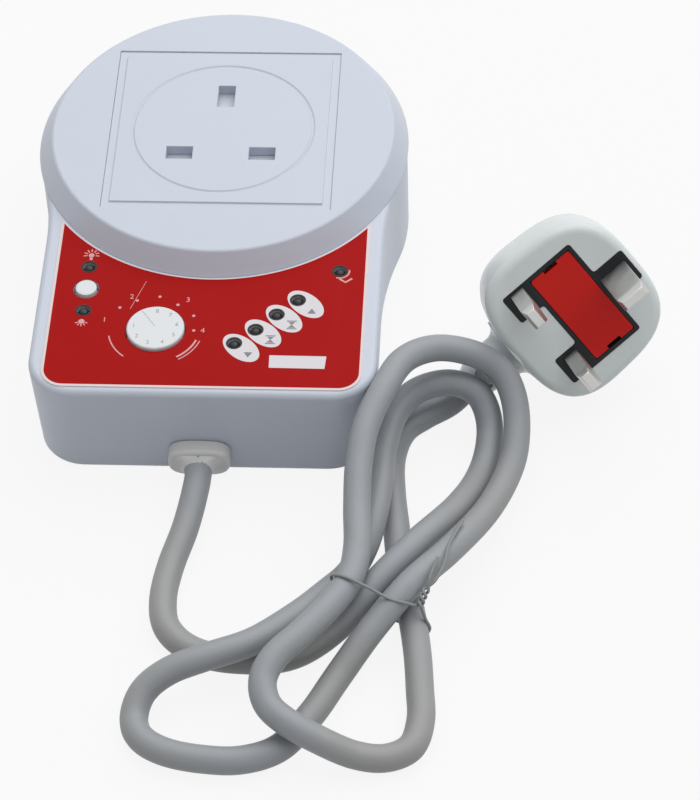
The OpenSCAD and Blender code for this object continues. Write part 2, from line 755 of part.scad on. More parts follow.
module lamp(i) color(dark) at_socket() at_places([lamp_places[i]]) {
    r = lamp_d / 2;
    low = face_h + lamp_rise - lamp_h;
    translate([0, 0, low]) {
        cylinder(lamp_flange_t, r + lamp_flange, r + lamp_flange, $fn = 32);
        cylinder(lamp_h - r, r, r, $fn = 32);
        translate([0, 0, lamp_h - r]) sphere(r, $fn = 32);
    }
    for (s = [-1, 1]) translate([s * lamp_leg_pitch / 2, 0, board_top])
        bar(lamp_leg, lamp_leg, low - board_top + lamp_flange_t / 2);
}

module lamp_mains() lamp(0);
module lamp_output() lamp(1);
module lamp_low() lamp(2);
module lamp_wait_long() lamp(3);
module lamp_wait_short() lamp(4);
module lamp_high() lamp(5);
module lamp_alarm() lamp(6);

// Circuit board

module circuit_board() color(board_green) at_socket() difference() {
    translate([-board_half_w, board_front, board_top - board_t])
        cube([2 * board_half_w, board_rear - board_front, board_t]);
    at_places(board_post_places) translate([0, 0, board_top - board_t - cut])
        cylinder(board_t + 2 * cut, board_hole_r, board_hole_r, $fn = 24);
}

module board_screws() color(steel) at_socket() at_places(board_post_places)
    translate([0, 0, board_top]) rotate([180, 0, 0])
        screw(board_screw_r, board_top - base_t - board_screw_r, board_head_r, board_head_t);

module relay() color("royalblue") at_socket() at_places([[-middle_gap - relay_w / 2, on_panel([0, relay_share]).y]])
    translate([0, 0, board_top]) bar(relay_size.x, relay_size.y, relay_size.z);

module transformer() color("gold") at_socket() 
    at_places([[middle_gap + transformer_w / 2, on_panel([0, transformer_share]).y]])
    translate([0, 0, board_top]) {
        bar(transformer_size.x, transformer_size.y - 2 * core_lap, transformer_size.z);
        translate([0, 0, core_lap])
            bar(transformer_size.x - 2 * core_lap, transformer_size.y, transformer_size.z - 2 * core_lap);
    }

module capacitors() color(dark) at_socket() for (i = [0:len(capacitor_radii) - 1])
    at_places([on_panel(capacitor_shares[i])]) translate([0, 0, board_top])
        cylinder(capacitor_h, capacitor_radii[i], capacitor_radii[i], $fn = 32);

module terminal_block() color("seagreen") at_socket() at_places([[0, terminal_front_in - front_reach]]) difference() {
    translate([0, 0, board_top]) bar(terminal_size.x, terminal_size.y, terminal_size.z);
    for (s = [-1, 0, 1]) translate([0, s * terminal_pitch, board_top + terminal_size.z / 2])
        cylinder(terminal_size.z, terminal_hole_r, terminal_hole_r, $fn = 24);
    for (s = [-1, 0, 1]) translate([-terminal_size.x, s * terminal_pitch,
        board_top + terminal_size.z / 3]) rotate([0, 90, 0])
            cylinder(terminal_size.x, terminal_hole_r, terminal_hole_r, $fn = 24);
}

// Cord outlet

wall_out = -front_reach + front_lean * (1 - outlet_z / face_h);
collar_front = -front_reach - collar_out;

module cable_gland() color(grey_shell) at_socket() translate([outlet_x, 0, outlet_z]) difference() {
    union() {
        translate([0, collar_front, 0]) rotate([-90, 0, 0])
            oblong(collar_w, collar_h, wall_out - collar_front - front_lean / 2);
        translate([0, collar_front, 0]) rotate([-90, 0, 0])
            oblong(neck_w, neck_h, wall_out + wall_t + front_lean - collar_front + neck_reach);
        translate([0, wall_out + wall_t + front_lean, 0]) rotate([-90, 0, 0])
            oblong(collar_w, collar_h, neck_reach);
    }
    translate([0, collar_front - cut, 0]) rotate([-90, 0, 0])
        cylinder(sheath_len, cord_d / 2 + run_gap, cord_d / 2 + run_gap, $fn = 48);
}

module lead_sheath() color(grey_cord) at_socket() translate([outlet_x, collar_front, outlet_z])
    rotate([-90, 0, 0]) cylinder(sheath_len, cord_d / 2, cord_d / 2, $fn = 48);

clamp_y = collar_front + sheath_len - clamp_back;
clamp_places = [for (s = [-1, 1]) [outlet_x + s * clamp_pitch / 2, clamp_y]];

module cord_clamp() color("white") at_socket() difference() {
    translate([outlet_x, clamp_y, outlet_z]) bar(clamp_w, clamp_d, cord_d / 2 + clamp_t);
    translate([outlet_x, clamp_y - clamp_d, outlet_z]) rotate([-90, 0, 0])
        cylinder(2 * clamp_d, cord_d / 2 + run_gap, cord_d / 2 + run_gap, $fn = 48);
    at_places(clamp_places) cylinder(face_h, clamp_screw_r + run_gap, clamp_screw_r + run_gap, $fn = 24);
}

module clamp_screws() color(steel) at_socket() at_places(clamp_places)
    translate([0, 0, outlet_z + cord_d / 2 + clamp_t]) rotate([180, 0, 0])
        screw(clamp_screw_r, cord_d / 2 + clamp_t + outlet_z - base_t - cut, clamp_head_r, board_head_t);

// Cord

cord_line = smooth(cord_points, cord_steps);
plug_axis = turned([0, 1, 0]);
cord_start = [outlet_x, socket_y + collar_front, outlet_z];
cord_run = concat([cord_start], [for (i = [1:len(cord_line) - 1]) cord_line[i]]);

module cord() color(grey_cord) tube(cord_run, cord_d / 2, cord_sides, [0, -1, 0], plug_axis);

function near(a, b) = norm(a - b);
cord_gaps = [for (i = [0:len(cord_run) - 1], j = [i + 7:len(cord_run) - 1])
    near(cord_run[i], cord_run[j]) - cord_d];
cord_length = [for (i = 0, s = 0; i < len(cord_run) - 1; s = s + near(cord_run[i], cord_run[i + 1]),
    i = i + 1) s];
echo(cord_least_gap = min([for (g = cord_gaps) if (g > -cord_d / 2) g]),
    cord_length = cord_length[len(cord_length) - 1]);

tie_line = smooth(tie_points, tie_steps);
module twist_tie() color("gray") {
    way = unit(tail_end - tail_start);
    side = unit(cross(way, [0, 0, 1]));
    up = cross(side, way);
    tail = function (phase) [for (i = [0:tail_rings]) let (a = 360 * tail_twists * i / tail_rings + phase)
        tail_start + (tail_end - tail_start) * i / tail_rings
            + tail_pitch_r * (cos(a) * side + sin(a) * up)];
    line = concat(backward(tail(180)), tie_line, tail(0));
    n = len(line);
    // The wire's own frame turns with it, each step keeping the last side
    sides = [for (i = 0, s = side; i < n; i = i + 1,
        s = i < n ? let (w = unit(line[min(i + 1, n - 1)] - line[max(i - 1, 0)]))
            unit(s - (s * w) * w) : s) s];
    loft([for (i = [0:n - 1]) let (w = unit(line[min(i + 1, n - 1)] - line[max(i - 1, 0)]),
        u = unit(sides[min(i + 1, n - 1)] - (sides[min(i + 1, n - 1)] * w) * w), v = cross(w, u))
        [for (k = [0:tie_sides - 1]) let (a = 360 * k / tie_sides)
            line[i] + tie_r * (cos(a) * u + sin(a) * v)]]);
}

// Plug

// A direction of the plug's own frame, turned as the plug lies
function about_z(v, a) = [v.x * cos(a) - v.y * sin(a), v.x * sin(a) + v.y * cos(a), v.z];
function about_x(v, a) = [v.x, v.y * cos(a) - v.z * sin(a), v.y * sin(a) + v.z * cos(a)];
function turned(v) = about_z(about_x(about_z(v, plug_turn_side), plug_turn_back), plug_turn_face);

plug_neck = plug_h / 2 - plug_mid_y + neck_out;
neck_steps = 6;
module at_plug() {
    translate(cord_points[len(cord_points) - 1])
        rotate([0, 0, plug_turn_face]) rotate([plug_turn_back, 0, 0]) rotate([0, 0, plug_turn_side])
            translate([0, plug_neck + relief_len, cord_depth]) children();
}

// The plug's rounded square outline, drawn in by an inset
function plug_outline(w, h) = [for (i = [0:plug_facets - 1]) let (a = 360 * i / plug_facets,
    c = cos(a), s = sin(a),
    x = w / 2 * sign(c) * pow(abs(c), 2 / plug_power),
    y = h / 2 * sign(s) * pow(abs(s), 2 / plug_power))
    [x * (1 - plug_taper_share * y * 2 / h), y + plug_mid_y]];

plug_rings = concat(
    [for (i = [len(plug_back_shares) - 1:-1:0]) let (b = plug_back_shares[i])
        lifted(plug_outline(plug_w * b[0], plug_h * b[0]), -plug_t * b[1])],
    [for (i = [0:3]) let (a = 30 * i) lifted(plug_outline(plug_w - 2 * plug_edge * (1 - cos(a)),
        plug_h - 2 * plug_edge * (1 - cos(a))), -plug_edge * (1 - sin(a)))]);

module insert_outline(grow) {
    translate([0, insert_y]) square([carrier_w + 2 * insert_rim + 2 * grow,
        carrier_h + 2 * insert_rim + 2 * grow], center = true);
    for (s = [-1, 1]) translate([s * pin_pitch / 2, plug_supply_y + (insert_y - plug_supply_y) / 2
        - pad_front / 2]) square([pad_w + 2 * grow, insert_y - plug_supply_y + pad_front + 2 * grow],
        center = true);
    translate([0, insert_y + (plug_earth_y - insert_y + earth_pad_back) / 2])
        square([earth_pad_w + 2 * grow, plug_earth_y - insert_y + earth_pad_back + 2 * grow],
            center = true);
}

module plug_body() color(grey_shell) at_plug() difference() {
    union() {
        loft(plug_rings);
        // The neck flares hollowly from the strain relief's collar into the body
        translate([0, -plug_neck, -cord_depth]) rotate([-90, 0, 0]) rotate_extrude($fn = 48)
            polygon(concat([[0, 0]], arc([relief_base_r + neck_out, 0], neck_out, 180, 90, neck_steps),
                [[relief_base_r + neck_out, 2 * neck_out], [0, 2 * neck_out]]));
    }
    translate([0, 0, -insert_deep]) linear_extrude(insert_deep + cut) insert_outline(run_gap);
}

module pin_shape(w, h, out, gap) {
    bottom = -pin_root;
    intersection() {
        rotate([90, 0, 0]) translate([0, 0, -h / 2 - gap]) linear_extrude(h + 2 * gap)
            pin_profile(w + 2 * gap, bottom, out);
        rotate([90, 0, 90]) translate([0, 0, -w / 2 - gap]) linear_extrude(w + 2 * gap)
            pin_profile(h + 2 * gap, bottom, out);
    }
}

module pin_profile(w, low, high) {
    polygon([[-w / 2, low], [w / 2, low], [w / 2, high - 2 * pin_chamfer],
        [w / 2 - pin_chamfer / 2, high], [pin_chamfer / 2 - w / 2, high], [-w / 2, high - 2 * pin_chamfer]]);
}

module plug_insert() color(dark) at_plug() difference() {
    translate([0, 0, -insert_deep]) linear_extrude(insert_deep + insert_rise) insert_outline(0);
    translate([0, insert_y, -insert_deep + insert_rim])
        bar(carrier_w + seat_gap, carrier_h + seat_gap, insert_deep + cut);
    for (s = [-1, 1]) translate([s * pin_pitch / 2, plug_supply_y, -pin_root])
        bar(pin_w + run_gap, pin_t + run_gap, insert_deep);
    translate([0, plug_earth_y, -pin_root]) bar(pin_t + run_gap, earth_pin_h + run_gap, insert_deep);
}

fuse_z = insert_rise - carrier_plate_t - fuse_r - run_gap;
module fuse_carrier() color("red") at_plug() translate([0, insert_y, 0]) {
    difference() {
        translate([0, 0, insert_rise - carrier_plate_t]) bar(carrier_w, carrier_h, carrier_plate_t);
        for (s = [-1, 1]) translate([s * carrier_w / 2, 0, insert_rise - carrier_plate_t - cut])
            bar(2 * carrier_notch_deep, carrier_notch_w, carrier_plate_t + 2 * cut);
    }
    for (s = [-1, 1]) translate([0, s * (fuse_r + seat_gap + carrier_leg_t / 2), insert_rise
        - carrier_plate_t - carrier_leg_h]) bar(carrier_leg_w * 3, carrier_leg_t, carrier_leg_h + carrier_plate_t / 2);
}

module fuse() color("ivory") at_plug() translate([-fuse_len / 2, insert_y, fuse_z]) rotate([0, 90, 0]) {
    translate([0, 0, fuse_cap_len / 2]) cylinder(fuse_len - fuse_cap_len, fuse_r - fuse_cap_t,
        fuse_r - fuse_cap_t, $fn = 40);
    for (low = [0, fuse_len - fuse_cap_len]) translate([0, 0, low])
        cylinder(fuse_cap_len, fuse_r, fuse_r, $fn = 40);
}

module line_pin() color(steel) at_plug() translate([pin_pitch / 2, plug_supply_y, 0])
    pin_shape(pin_w, pin_t, pin_out, 0);
module neutral_pin() color(steel) at_plug() translate([-pin_pitch / 2, plug_supply_y, 0])
    pin_shape(pin_w, pin_t, pin_out, 0);
module earth_pin() color(steel) at_plug() translate([0, plug_earth_y, 0])
    pin_shape(pin_t, earth_pin_h, earth_out, 0);

// The strain relief: a collar with grooves beside the plug, then a taper with two holes on each face
module strain_relief() color(grey_shell) at_plug() translate([0, -plug_neck - relief_len, -cord_depth])
    rotate([-90, 0, 0]) difference() {
        rotate_extrude($fn = 48) polygon([[0, 0], [relief_tip_r, 0],
            [relief_tip_r + (relief_base_r - relief_tip_r) / 2, relief_len - 3 * relief_collar],
            [relief_base_r - relief_groove, relief_len - 2 * relief_collar],
            [relief_base_r, relief_len - 2 * relief_collar],
            [relief_base_r, relief_len - 1.5 * relief_collar],
            [relief_base_r - relief_groove, relief_len - 1.5 * relief_collar],
            [relief_base_r - relief_groove, relief_len - relief_collar],
            [relief_base_r, relief_len - relief_collar],
            [relief_base_r, relief_len], [0, relief_len]]);
        for (s = [-1, 1], t = [-1, 1]) rotate(s * 90 + t * relief_hole_turn)
            translate([relief_base_r, 0, relief_len - relief_hole_back]) rotate([0, -90, 0])
                cylinder(relief_hole_deep, relief_hole_r, relief_hole_r, $fn = 24);
    }

upper_housing();
base_plate();
housing_screws();
disc_cover();
cover_screws();
socket_plate();
contact_carrier();
shutter();
shutter_spring();
line_contact();
neutral_contact();
earth_contact();
front_label();
dial_knob();
dial_shaft();
potentiometer();
push_button();
switch_plunger();
tact_switch();
lamp_mains();
lamp_output();
lamp_low();
lamp_wait_long();
lamp_wait_short();
lamp_high();
lamp_alarm();
circuit_board();
board_screws();
relay();
transformer();
capacitors();
terminal_block();
cable_gland();
lead_sheath();
cord_clamp();
clamp_screws();
cord();
twist_tie();
plug_body();
plug_insert();
fuse_carrier();
fuse();
line_pin();
neutral_pin();
earth_pin();
strain_relief();
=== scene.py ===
import json
import math
import bpy
from mathutils import Matrix, Vector

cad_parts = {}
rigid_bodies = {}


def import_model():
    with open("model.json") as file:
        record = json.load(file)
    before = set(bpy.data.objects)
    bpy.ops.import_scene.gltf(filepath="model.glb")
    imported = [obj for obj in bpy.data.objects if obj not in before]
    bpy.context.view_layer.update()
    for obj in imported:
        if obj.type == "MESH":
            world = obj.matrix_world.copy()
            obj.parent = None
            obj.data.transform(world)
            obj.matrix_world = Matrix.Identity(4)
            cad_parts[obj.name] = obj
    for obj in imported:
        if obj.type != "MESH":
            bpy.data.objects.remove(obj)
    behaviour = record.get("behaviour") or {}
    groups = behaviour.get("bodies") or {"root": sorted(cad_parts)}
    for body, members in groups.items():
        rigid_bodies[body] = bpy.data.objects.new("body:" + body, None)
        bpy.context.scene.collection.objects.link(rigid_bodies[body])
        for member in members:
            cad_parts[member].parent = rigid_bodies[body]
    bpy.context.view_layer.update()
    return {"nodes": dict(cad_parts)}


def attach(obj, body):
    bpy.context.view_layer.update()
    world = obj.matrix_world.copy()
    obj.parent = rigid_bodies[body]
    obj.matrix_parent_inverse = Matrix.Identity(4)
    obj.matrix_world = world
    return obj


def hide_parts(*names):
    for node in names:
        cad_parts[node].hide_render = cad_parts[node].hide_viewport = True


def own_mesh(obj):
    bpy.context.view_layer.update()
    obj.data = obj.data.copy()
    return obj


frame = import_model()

mm = 0.001
nodes = frame["nodes"]
socketY = 20.5    # the socket's centre, front to back; the shapes below are in millimetres

# Materials

palette = {
    "shell": (0.60, 0.645, 0.735), "whitePlastic": (0.74, 0.77, 0.79),
    "shutter": (0.60, 0.63, 0.69), "gland": (0.66, 0.665, 0.65), "label": (0.40, 0.005, 0.005),
    "labelStreak": (0.46, 0.025, 0.022), "ink": (0.78, 0.66, 0.66), "pale": (0.71, 0.69, 0.72),
    "inkPink": (0.70, 0.36, 0.35), "dialGrey": (0.27, 0.30, 0.32), "markGrey": (0.2, 0.2, 0.22),
    "cord": (0.35, 0.355, 0.348), "cordCool": (0.345, 0.365, 0.393),
    "cordDark": (0.24, 0.25, 0.26), "cordGrime": (0.27, 0.26, 0.23), "tie": (0.26, 0.275, 0.275),
    "plug": (0.71, 0.76, 0.765), "dark": (0.012, 0.014, 0.016), "red": (0.60, 0.010, 0.006),
    "pin": (0.55, 0.55, 0.535), "steel": (0.55, 0.56, 0.58), "brass": (0.72, 0.5, 0.2),
    # the lens's rim colour is a painted sheen, lighter where the dome is seen at a slant
    "lensFace": (0.007, 0.011, 0.011), "lensRimSheen": (0.02, 0.03, 0.028),
    "lensFleck": (0.01, 0.028, 0.025), "board": (0.02, 0.13, 0.05), "relay": (0.03, 0.09, 0.35),
    "tape": (0.75, 0.55, 0.12), "terminal": (0.05, 0.3, 0.13), "ceramic": (0.8, 0.77, 0.68),
    "floor": (0.62, 0.62, 0.62), "light": (1.0, 1.0, 1.0),
}


class Signal:    # a socket of a material's nodes, with the operators of plain maths
    def __init__(self, tree, socket):
        self.tree, self.socket = tree, socket

    def maths(self, operation, *values):
        node = self.tree.nodes.new("ShaderNodeMath")
        node.operation = operation
        for slot, value in zip(node.inputs, values):
            feed(self.tree, slot, value)
        return Signal(self.tree, node.outputs[0])

    def __add__(self, other):
        return self.maths("ADD", self, other)

    def __radd__(self, other):
        return self.maths("ADD", other, self)

    def __mul__(self, other):
        return self.maths("MULTIPLY", self, other)

    def __rmul__(self, other):
        return self.maths("MULTIPLY", other, self)


def feed(tree, slot, value):
    if isinstance(value, Signal):
        tree.links.new(value.socket, slot)
    elif isinstance(value, tuple) and slot.type == "RGBA":
        slot.default_value = (*value, 1)
    else:
        slot.default_value = value


class Finish:    # a material in the making
    def __init__(self, name, **uniform):
        self.material = bpy.data.materials.new(name)
        self.material.use_nodes = True
        self.tree = self.material.node_tree
        self.shader = self.tree.nodes["Principled BSDF"]
        for socket, value in uniform.items():
            self.set(socket.replace("_", " "), value)

    def set(self, socket, value):
        feed(self.tree, self.shader.inputs[socket], value)

    def add(self, kind, settings=None, inputs=None, out=0):
        node = self.tree.nodes.new("ShaderNode" + kind)
        for key, value in (settings or {}).items():
            setattr(node, key, value)
        for key, value in (inputs or {}).items():
            feed(self.tree, node.inputs[key], value)
        return Signal(self.tree, node.outputs[out])

    def place(self):    # a point of the piece, in metres
        return self.add("TexCoord", out="Object")

    def noise(self, scale, detail=3.0, roughness=0.5, stretch=None):
        where = self.place()
        if stretch:
            where = self.add("VectorMath", {"operation": "MULTIPLY"}, {0: where, 1: stretch})
        return self.add("TexNoise", None, {"Vector": where, "Scale": scale, "Detail": detail,
                                           "Roughness": roughness})

    def rise(self, value, low, high):    # 0 below low and 1 above high
        return self.add("MapRange", {"interpolation_type": "SMOOTHSTEP"},
                        {"Value": value, "From Min": low, "From Max": high})

    def mix(self, share, first, second):
        return self.add("Mix", {"data_type": "RGBA"}, {0: share, 6: first, 7: second}, out=2)

    def bump(self, height, distance, strength=0.4):    # the distance is in metres
        self.set("Normal", self.add("Bump", None, {"Height": height, "Distance": distance,
                                                   "Strength": strength}))


alongY = (1.0, 0.12, 1.0)    # stretches a noise along the piece's y


def shade(colour, factor):
    return tuple(min(1.0, c * factor) for c in colour)


def mouldedPlastic(name, colour, rough=0.42, grain=0.00002, spread=0.05, dirt=0.03, specular=0.5):
    finish = Finish(name, IOR=1.46, Specular_IOR_Level=specular)
    cloud = finish.noise(22.0, 4.0)
    speck = finish.rise(finish.noise(900.0, 2.0), 0.68, 0.78)
    body = finish.mix(cloud, shade(colour, 1 - spread), shade(colour, 1 + spread))
    finish.set("Base Color", finish.mix(speck * dirt * 6, body, shade(colour, 0.75)))
    finish.set("Roughness", rough - 0.06 + 0.12 * finish.noise(60.0))
    finish.bump(finish.noise(2600.0, 2.0), grain, 0.5)
    return finish.material


def printedFoil():
    finish = Finish("labelFoil", IOR=1.45, Specular_IOR_Level=0.07)
    red = palette["label"]
    cloud = finish.noise(14.0, 3.0)
    streak = finish.noise(160.0, 2.0, 0.5, alongY)
    body = finish.mix(cloud, shade(red, 0.93), shade(red, 1.07))
    finish.set("Base Color", finish.mix(finish.rise(streak, 0.62, 0.8) * 0.12, body,
                                        palette["labelStreak"]))
    finish.set("Roughness", 0.38 + 0.14 * finish.noise(35.0))
    finish.bump(finish.noise(500.0, 3.0), 0.00003, 0.35)
    return finish.material


def sheathVinyl():
    finish = Finish("cordVinyl", IOR=1.5)
    cloud = finish.noise(18.0, 5.0, 0.6)
    tone = finish.rise(finish.noise(11.0, 2.0), 0.38, 0.62)
    grime = finish.rise(finish.noise(70.0, 4.0, 0.6), 0.55, 0.8)
    body = finish.mix(tone, palette["cord"], palette["cordCool"])
    body = finish.mix(cloud * 0.25, body, palette["cordDark"])
    finish.set("Base Color", finish.mix(grime * 0.22, body, palette["cordGrime"]))
    finish.set("Roughness", 0.40 + 0.16 * finish.noise(90.0))
    ripple = finish.noise(240.0, 3.0)
    finish.bump(ripple + 0.4 * finish.noise(1500.0, 2.0), 0.00018, 0.5)
    return finish.material


def brushedMetal(name, colour, rough=0.28, scale=420.0):
    finish = Finish(name, Metallic=1.0)
    scratch = finish.noise(scale, 4.0, 0.6, alongY)
    stain = finish.rise(finish.noise(120.0, 4.0), 0.5, 0.8)
    body = finish.mix(scratch, shade(colour, 0.88), shade(colour, 1.08))
    finish.set("Base Color", finish.mix(stain * 0.35, body, shade(colour, 0.6)))
    finish.set("Roughness", rough - 0.08 + 0.2 * scratch)
    finish.bump(scratch, 0.00003, 0.4)
    return finish.material


def inkPrint(name, colour):
    finish = Finish(name, IOR=1.45)
    worn = finish.rise(finish.noise(700.0, 3.0), 0.6, 0.78)
    finish.set("Base Color", finish.mix(worn * 0.35, colour, shade(colour, 0.72)))
    finish.set("Roughness", 0.4 + 0.1 * finish.noise(300.0))
    return finish.material


def wovenBoard():
    finish = Finish("boardLaminate", IOR=1.5)
    colour = palette["board"]
    tracks = finish.add("TexBrick", {"offset": 0.5}, {
        "Vector": finish.place(), "Scale": 260.0, "Mortar Size": 0.012, "Color1": colour,
        "Color2": shade(colour, 1.25), "Mortar": shade(colour, 2.2)})
    finish.set("Base Color", finish.mix(finish.noise(90.0), tracks, shade(colour, 0.8)))
    finish.set("Roughness", 0.35 + 0.1 * finish.noise(200.0))
    return finish.material


def wrappedTape():
    finish = Finish("windingTape", IOR=1.48)
    colour = palette["tape"]
    layer = finish.add("TexWave", {"wave_type": "BANDS", "bands_direction": "Z"}, {
        "Vector": finish.place(), "Scale": 90.0, "Distortion": 1.5, "Detail": 2.0})
    finish.set("Base Color", finish.mix(layer, shade(colour, 0.8), shade(colour, 1.1)))
    finish.set("Roughness", 0.3 + 0.15 * finish.noise(150.0))
    finish.bump(layer, 0.0001, 0.4)
    return finish.material


def lampLens():
    finish = Finish("lampLens", IOR=1.53, Specular_IOR_Level=0.3)
    finish.set("Coat Weight", 0.12)
    # painted sheen: the dome's rim, seen at a slant, is painted a lighter green than its face
    rimSheen = finish.add("LayerWeight", None, {"Blend": 0.35}, out="Facing")
    tone = finish.mix(rimSheen, palette["lensFace"], palette["lensRimSheen"])
    finish.set("Base Color", finish.mix(finish.noise(500.0) * 0.3, tone, palette["lensFleck"]))
    finish.set("Roughness", 0.3 + 0.1 * finish.noise(400.0))
    return finish.material


def makeFinishes():
    p = palette
    return {
        "shell": mouldedPlastic("shellPlastic", p["shell"], grain=0.000025, spread=0.022),
        "white": mouldedPlastic("whitePlastic", p["whitePlastic"], rough=0.36),
        "label": printedFoil(),
        "ink": inkPrint("inkWhite", p["ink"]),
        "pale": inkPrint("inkPale", p["pale"]),
        "inkPink": inkPrint("inkPink", p["inkPink"]),
        "dialGrey": inkPrint("inkDial", p["dialGrey"]),
        "markGrey": inkPrint("inkGrey", p["markGrey"]),
        "lamp": lampLens(),
        "gland": mouldedPlastic("glandVinyl", p["gland"], rough=0.34),
        "shutter": mouldedPlastic("shutterPlastic", p["shutter"], rough=0.4),
        "dark": mouldedPlastic("darkPlastic", p["dark"], rough=0.34, grain=0.00003, spread=0.2,
                               dirt=0.0, specular=0.25),
        "cord": sheathVinyl(),
        "plug": mouldedPlastic("plugShell", p["plug"], rough=0.24, spread=0.03),
        "red": mouldedPlastic("fuseRed", p["red"], rough=0.34, grain=0.00006, spread=0.09,
                              dirt=0.01, specular=0.25),
        "pin": brushedMetal("pinMetal", p["pin"], rough=0.36, scale=160.0),
        "steel": brushedMetal("steel", p["steel"]),
        "tie": mouldedPlastic("tieWire", p["tie"], rough=0.4, grain=0.00004, spread=0.12),
        "brass": brushedMetal("brass", p["brass"], rough=0.3),
        "board": wovenBoard(),
        "relay": mouldedPlastic("relayCase", p["relay"], rough=0.32, grain=0.00004, spread=0.1),
        "tape": wrappedTape(),
        "terminal": mouldedPlastic("terminalBlock", p["terminal"], rough=0.4),
        "ceramic": mouldedPlastic("fuseCeramic", p["ceramic"], rough=0.28, grain=0.00003),
    }


finishes = makeFinishes()
print("materials made:", len(finishes))

# Finish of every CAD node, shown or hidden
nodeFinishes = {
    "shell": ["upper_housing", "base_plate", "disc_cover", "socket_plate"],
    "white": ["contact_carrier", "dial_knob", "push_button", "cord_clamp"],
    "label": ["front_label"], "shutter": ["shutter"], "gland": ["cable_gland"],
    "lamp": ["lamp_mains", "lamp_output", "lamp_low", "lamp_wait_long", "lamp_wait_short",
             "lamp_high", "lamp_alarm"],
    "dark": ["potentiometer", "tact_switch", "switch_plunger", "capacitors", "plug_insert"],
    "steel": ["housing_screws", "cover_screws", "shutter_spring", "dial_shaft", "board_screws",
              "clamp_screws"],
    "brass": ["line_contact", "neutral_contact", "earth_contact"],
    "board": ["circuit_board"], "relay": ["relay"], "tape": ["transformer"],
    "terminal": ["terminal_block"], "cord": ["cord", "lead_sheath"], "tie": ["twist_tie"],
    "plug": ["plug_body", "strain_relief"], "red": ["fuse_carrier"], "ceramic": ["fuse"],
    "pin": ["line_pin", "neutral_pin", "earth_pin"],
}
for finishName, members in nodeFinishes.items():
    for member in members:
        mesh = nodes[member].data
        mesh.materials.clear()
        mesh.materials.append(finishes[finishName])

# Shapes

identity = Matrix.Identity(4)


def link(name, data, finish=None):
    piece = bpy.data.objects.new(name, data)
    bpy.context.scene.collection.objects.link(piece)
    if finish:
        data.materials.append(finishes[finish])
    return piece


def solid(name, points, faces, finish=None, place=identity):
    mesh = bpy.data.meshes.new(name)
    mesh.from_pydata([(place @ Vector(p)) * mm for p in points], [], faces)
    mesh.update()
    return link(name, mesh, finish)


def loft(name, rings, finish=None, place=identity, closed=False):
    n, m = len(rings[0]), len(rings)
    faces = [(k * n + i, k * n + (i + 1) % n, (k + 1) % m * n + (i + 1) % n, (k + 1) % m * n + i)
             for k in range(m if closed else m - 1) for i in range(n)]
    if not closed:
        faces += [tuple(range(n - 1, -1, -1)), tuple((m - 1) * n + i for i in range(n))]
    return solid(name, [p for ring in rings for p in ring], faces, finish, place)


def circle(r, z, steps, x=0.0, y=0.0):
    return [(x + r * math.cos(t), y + r * math.sin(t), z)
            for t in (2 * math.pi * i / steps for i in range(steps))]


def lathe(name, profile, steps, finish=None, place=identity, closed=False, x=0.0, y=0.0):
    return loft(name, [circle(r, z, steps, x, y) for r, z in profile], finish, place, closed)


def prism(name, outline, low, high, finish=None, place=identity):
    return loft(name, [[(*p, z) for p in outline] for z in (low, high)], finish, place)


def box(name, x, y, low, w, d, high, finish=None, place=identity):
    return prism(name, [(x - w / 2, y - d / 2), (x + w / 2, y - d / 2), (x + w / 2, y + d / 2),
                        (x - w / 2, y + d / 2)], low, high, finish, place)


def meshOf(piece):    # what the piece's modifiers, curve or text make
    return bpy.data.meshes.new_from_object(
        piece.evaluated_get(bpy.context.evaluated_depsgraph_get()))


def settle(piece):    # keeps what the modifiers make
    made = meshOf(piece)
    piece.modifiers.clear()
    piece.data = made
    return piece


def combine(piece, others, operation="DIFFERENCE"):
    for other in others:
        change = piece.modifiers.new("cut", "BOOLEAN")
        change.operation, change.solver, change.object = operation, "EXACT", other
        settle(piece)
        bpy.data.objects.remove(other)
    return piece


def soften(piece, width=0.4, segments=3, angle=30, smooth=32):
    if width:
        bevel = piece.modifiers.new("bevel", "BEVEL")
        bevel.width, bevel.segments = width * mm, segments
        bevel.limit_method, bevel.angle_limit = "ANGLE", math.radians(angle)
        settle(piece)
    piece.data.shade_smooth()
    piece.data.set_sharp_from_angle(angle=math.radians(smooth))
    weighted = piece.modifiers.new("normals", "WEIGHTED_NORMAL")
    weighted.keep_sharp = True
    return settle(piece)


def gather(name, parts):    # several pieces of one finish made into one
    points, faces = [], []
    for part in parts:
        first = len(points)
        points += [tuple(part.matrix_world @ v.co) for v in part.data.vertices]
        faces += [tuple(first + i for i in face.vertices) for face in part.data.polygons]
    mesh = bpy.data.meshes.new(name)
    mesh.from_pydata(points, [], faces)
    mesh.update()
    mesh.materials.append(parts[0].data.materials[0])
    for part in parts:
        bpy.data.objects.remove(part)
    return link(name, mesh)


digitT = 0.03    # how thick the ink of a number is


def digits(name, items, size, z, finish):    # plain numbers that lie flat
    parts = []
    for text, x, y in items:
        data = bpy.data.curves.new("digit", "FONT")
        data.body, data.size, data.extrude = text, size * mm, digitT / 2 * mm
        data.align_x, data.align_y = "CENTER", "CENTER"
        piece = link("digit", data, finish)
        piece.matrix_world = Matrix.Translation(Vector((x, y, z)) * mm)
        mesh = meshOf(piece)
        bpy.data.objects.remove(piece)
        mesh.transform(Matrix.Translation(Vector((x, y, z)) * mm))
        parts.append(link("digit", mesh))
    return gather(name, parts)


def arc(x, y, r, start, end, steps):
    return [(x + r * math.cos(t), y + r * math.sin(t))
            for t in (math.radians(start + (end - start) * i / steps) for i in range(steps + 1))]


def oval(w, h, power, steps=96):    # an ellipse at power 2, squarer above it
    line = []
    for i in range(steps):
        c, s = math.cos(2 * math.pi * i / steps), math.sin(2 * math.pi * i / steps)
        line.append((math.copysign(abs(c) ** (2 / power), c) * w / 2,
                     math.copysign(abs(s) ** (2 / power), s) * h / 2))
    return line


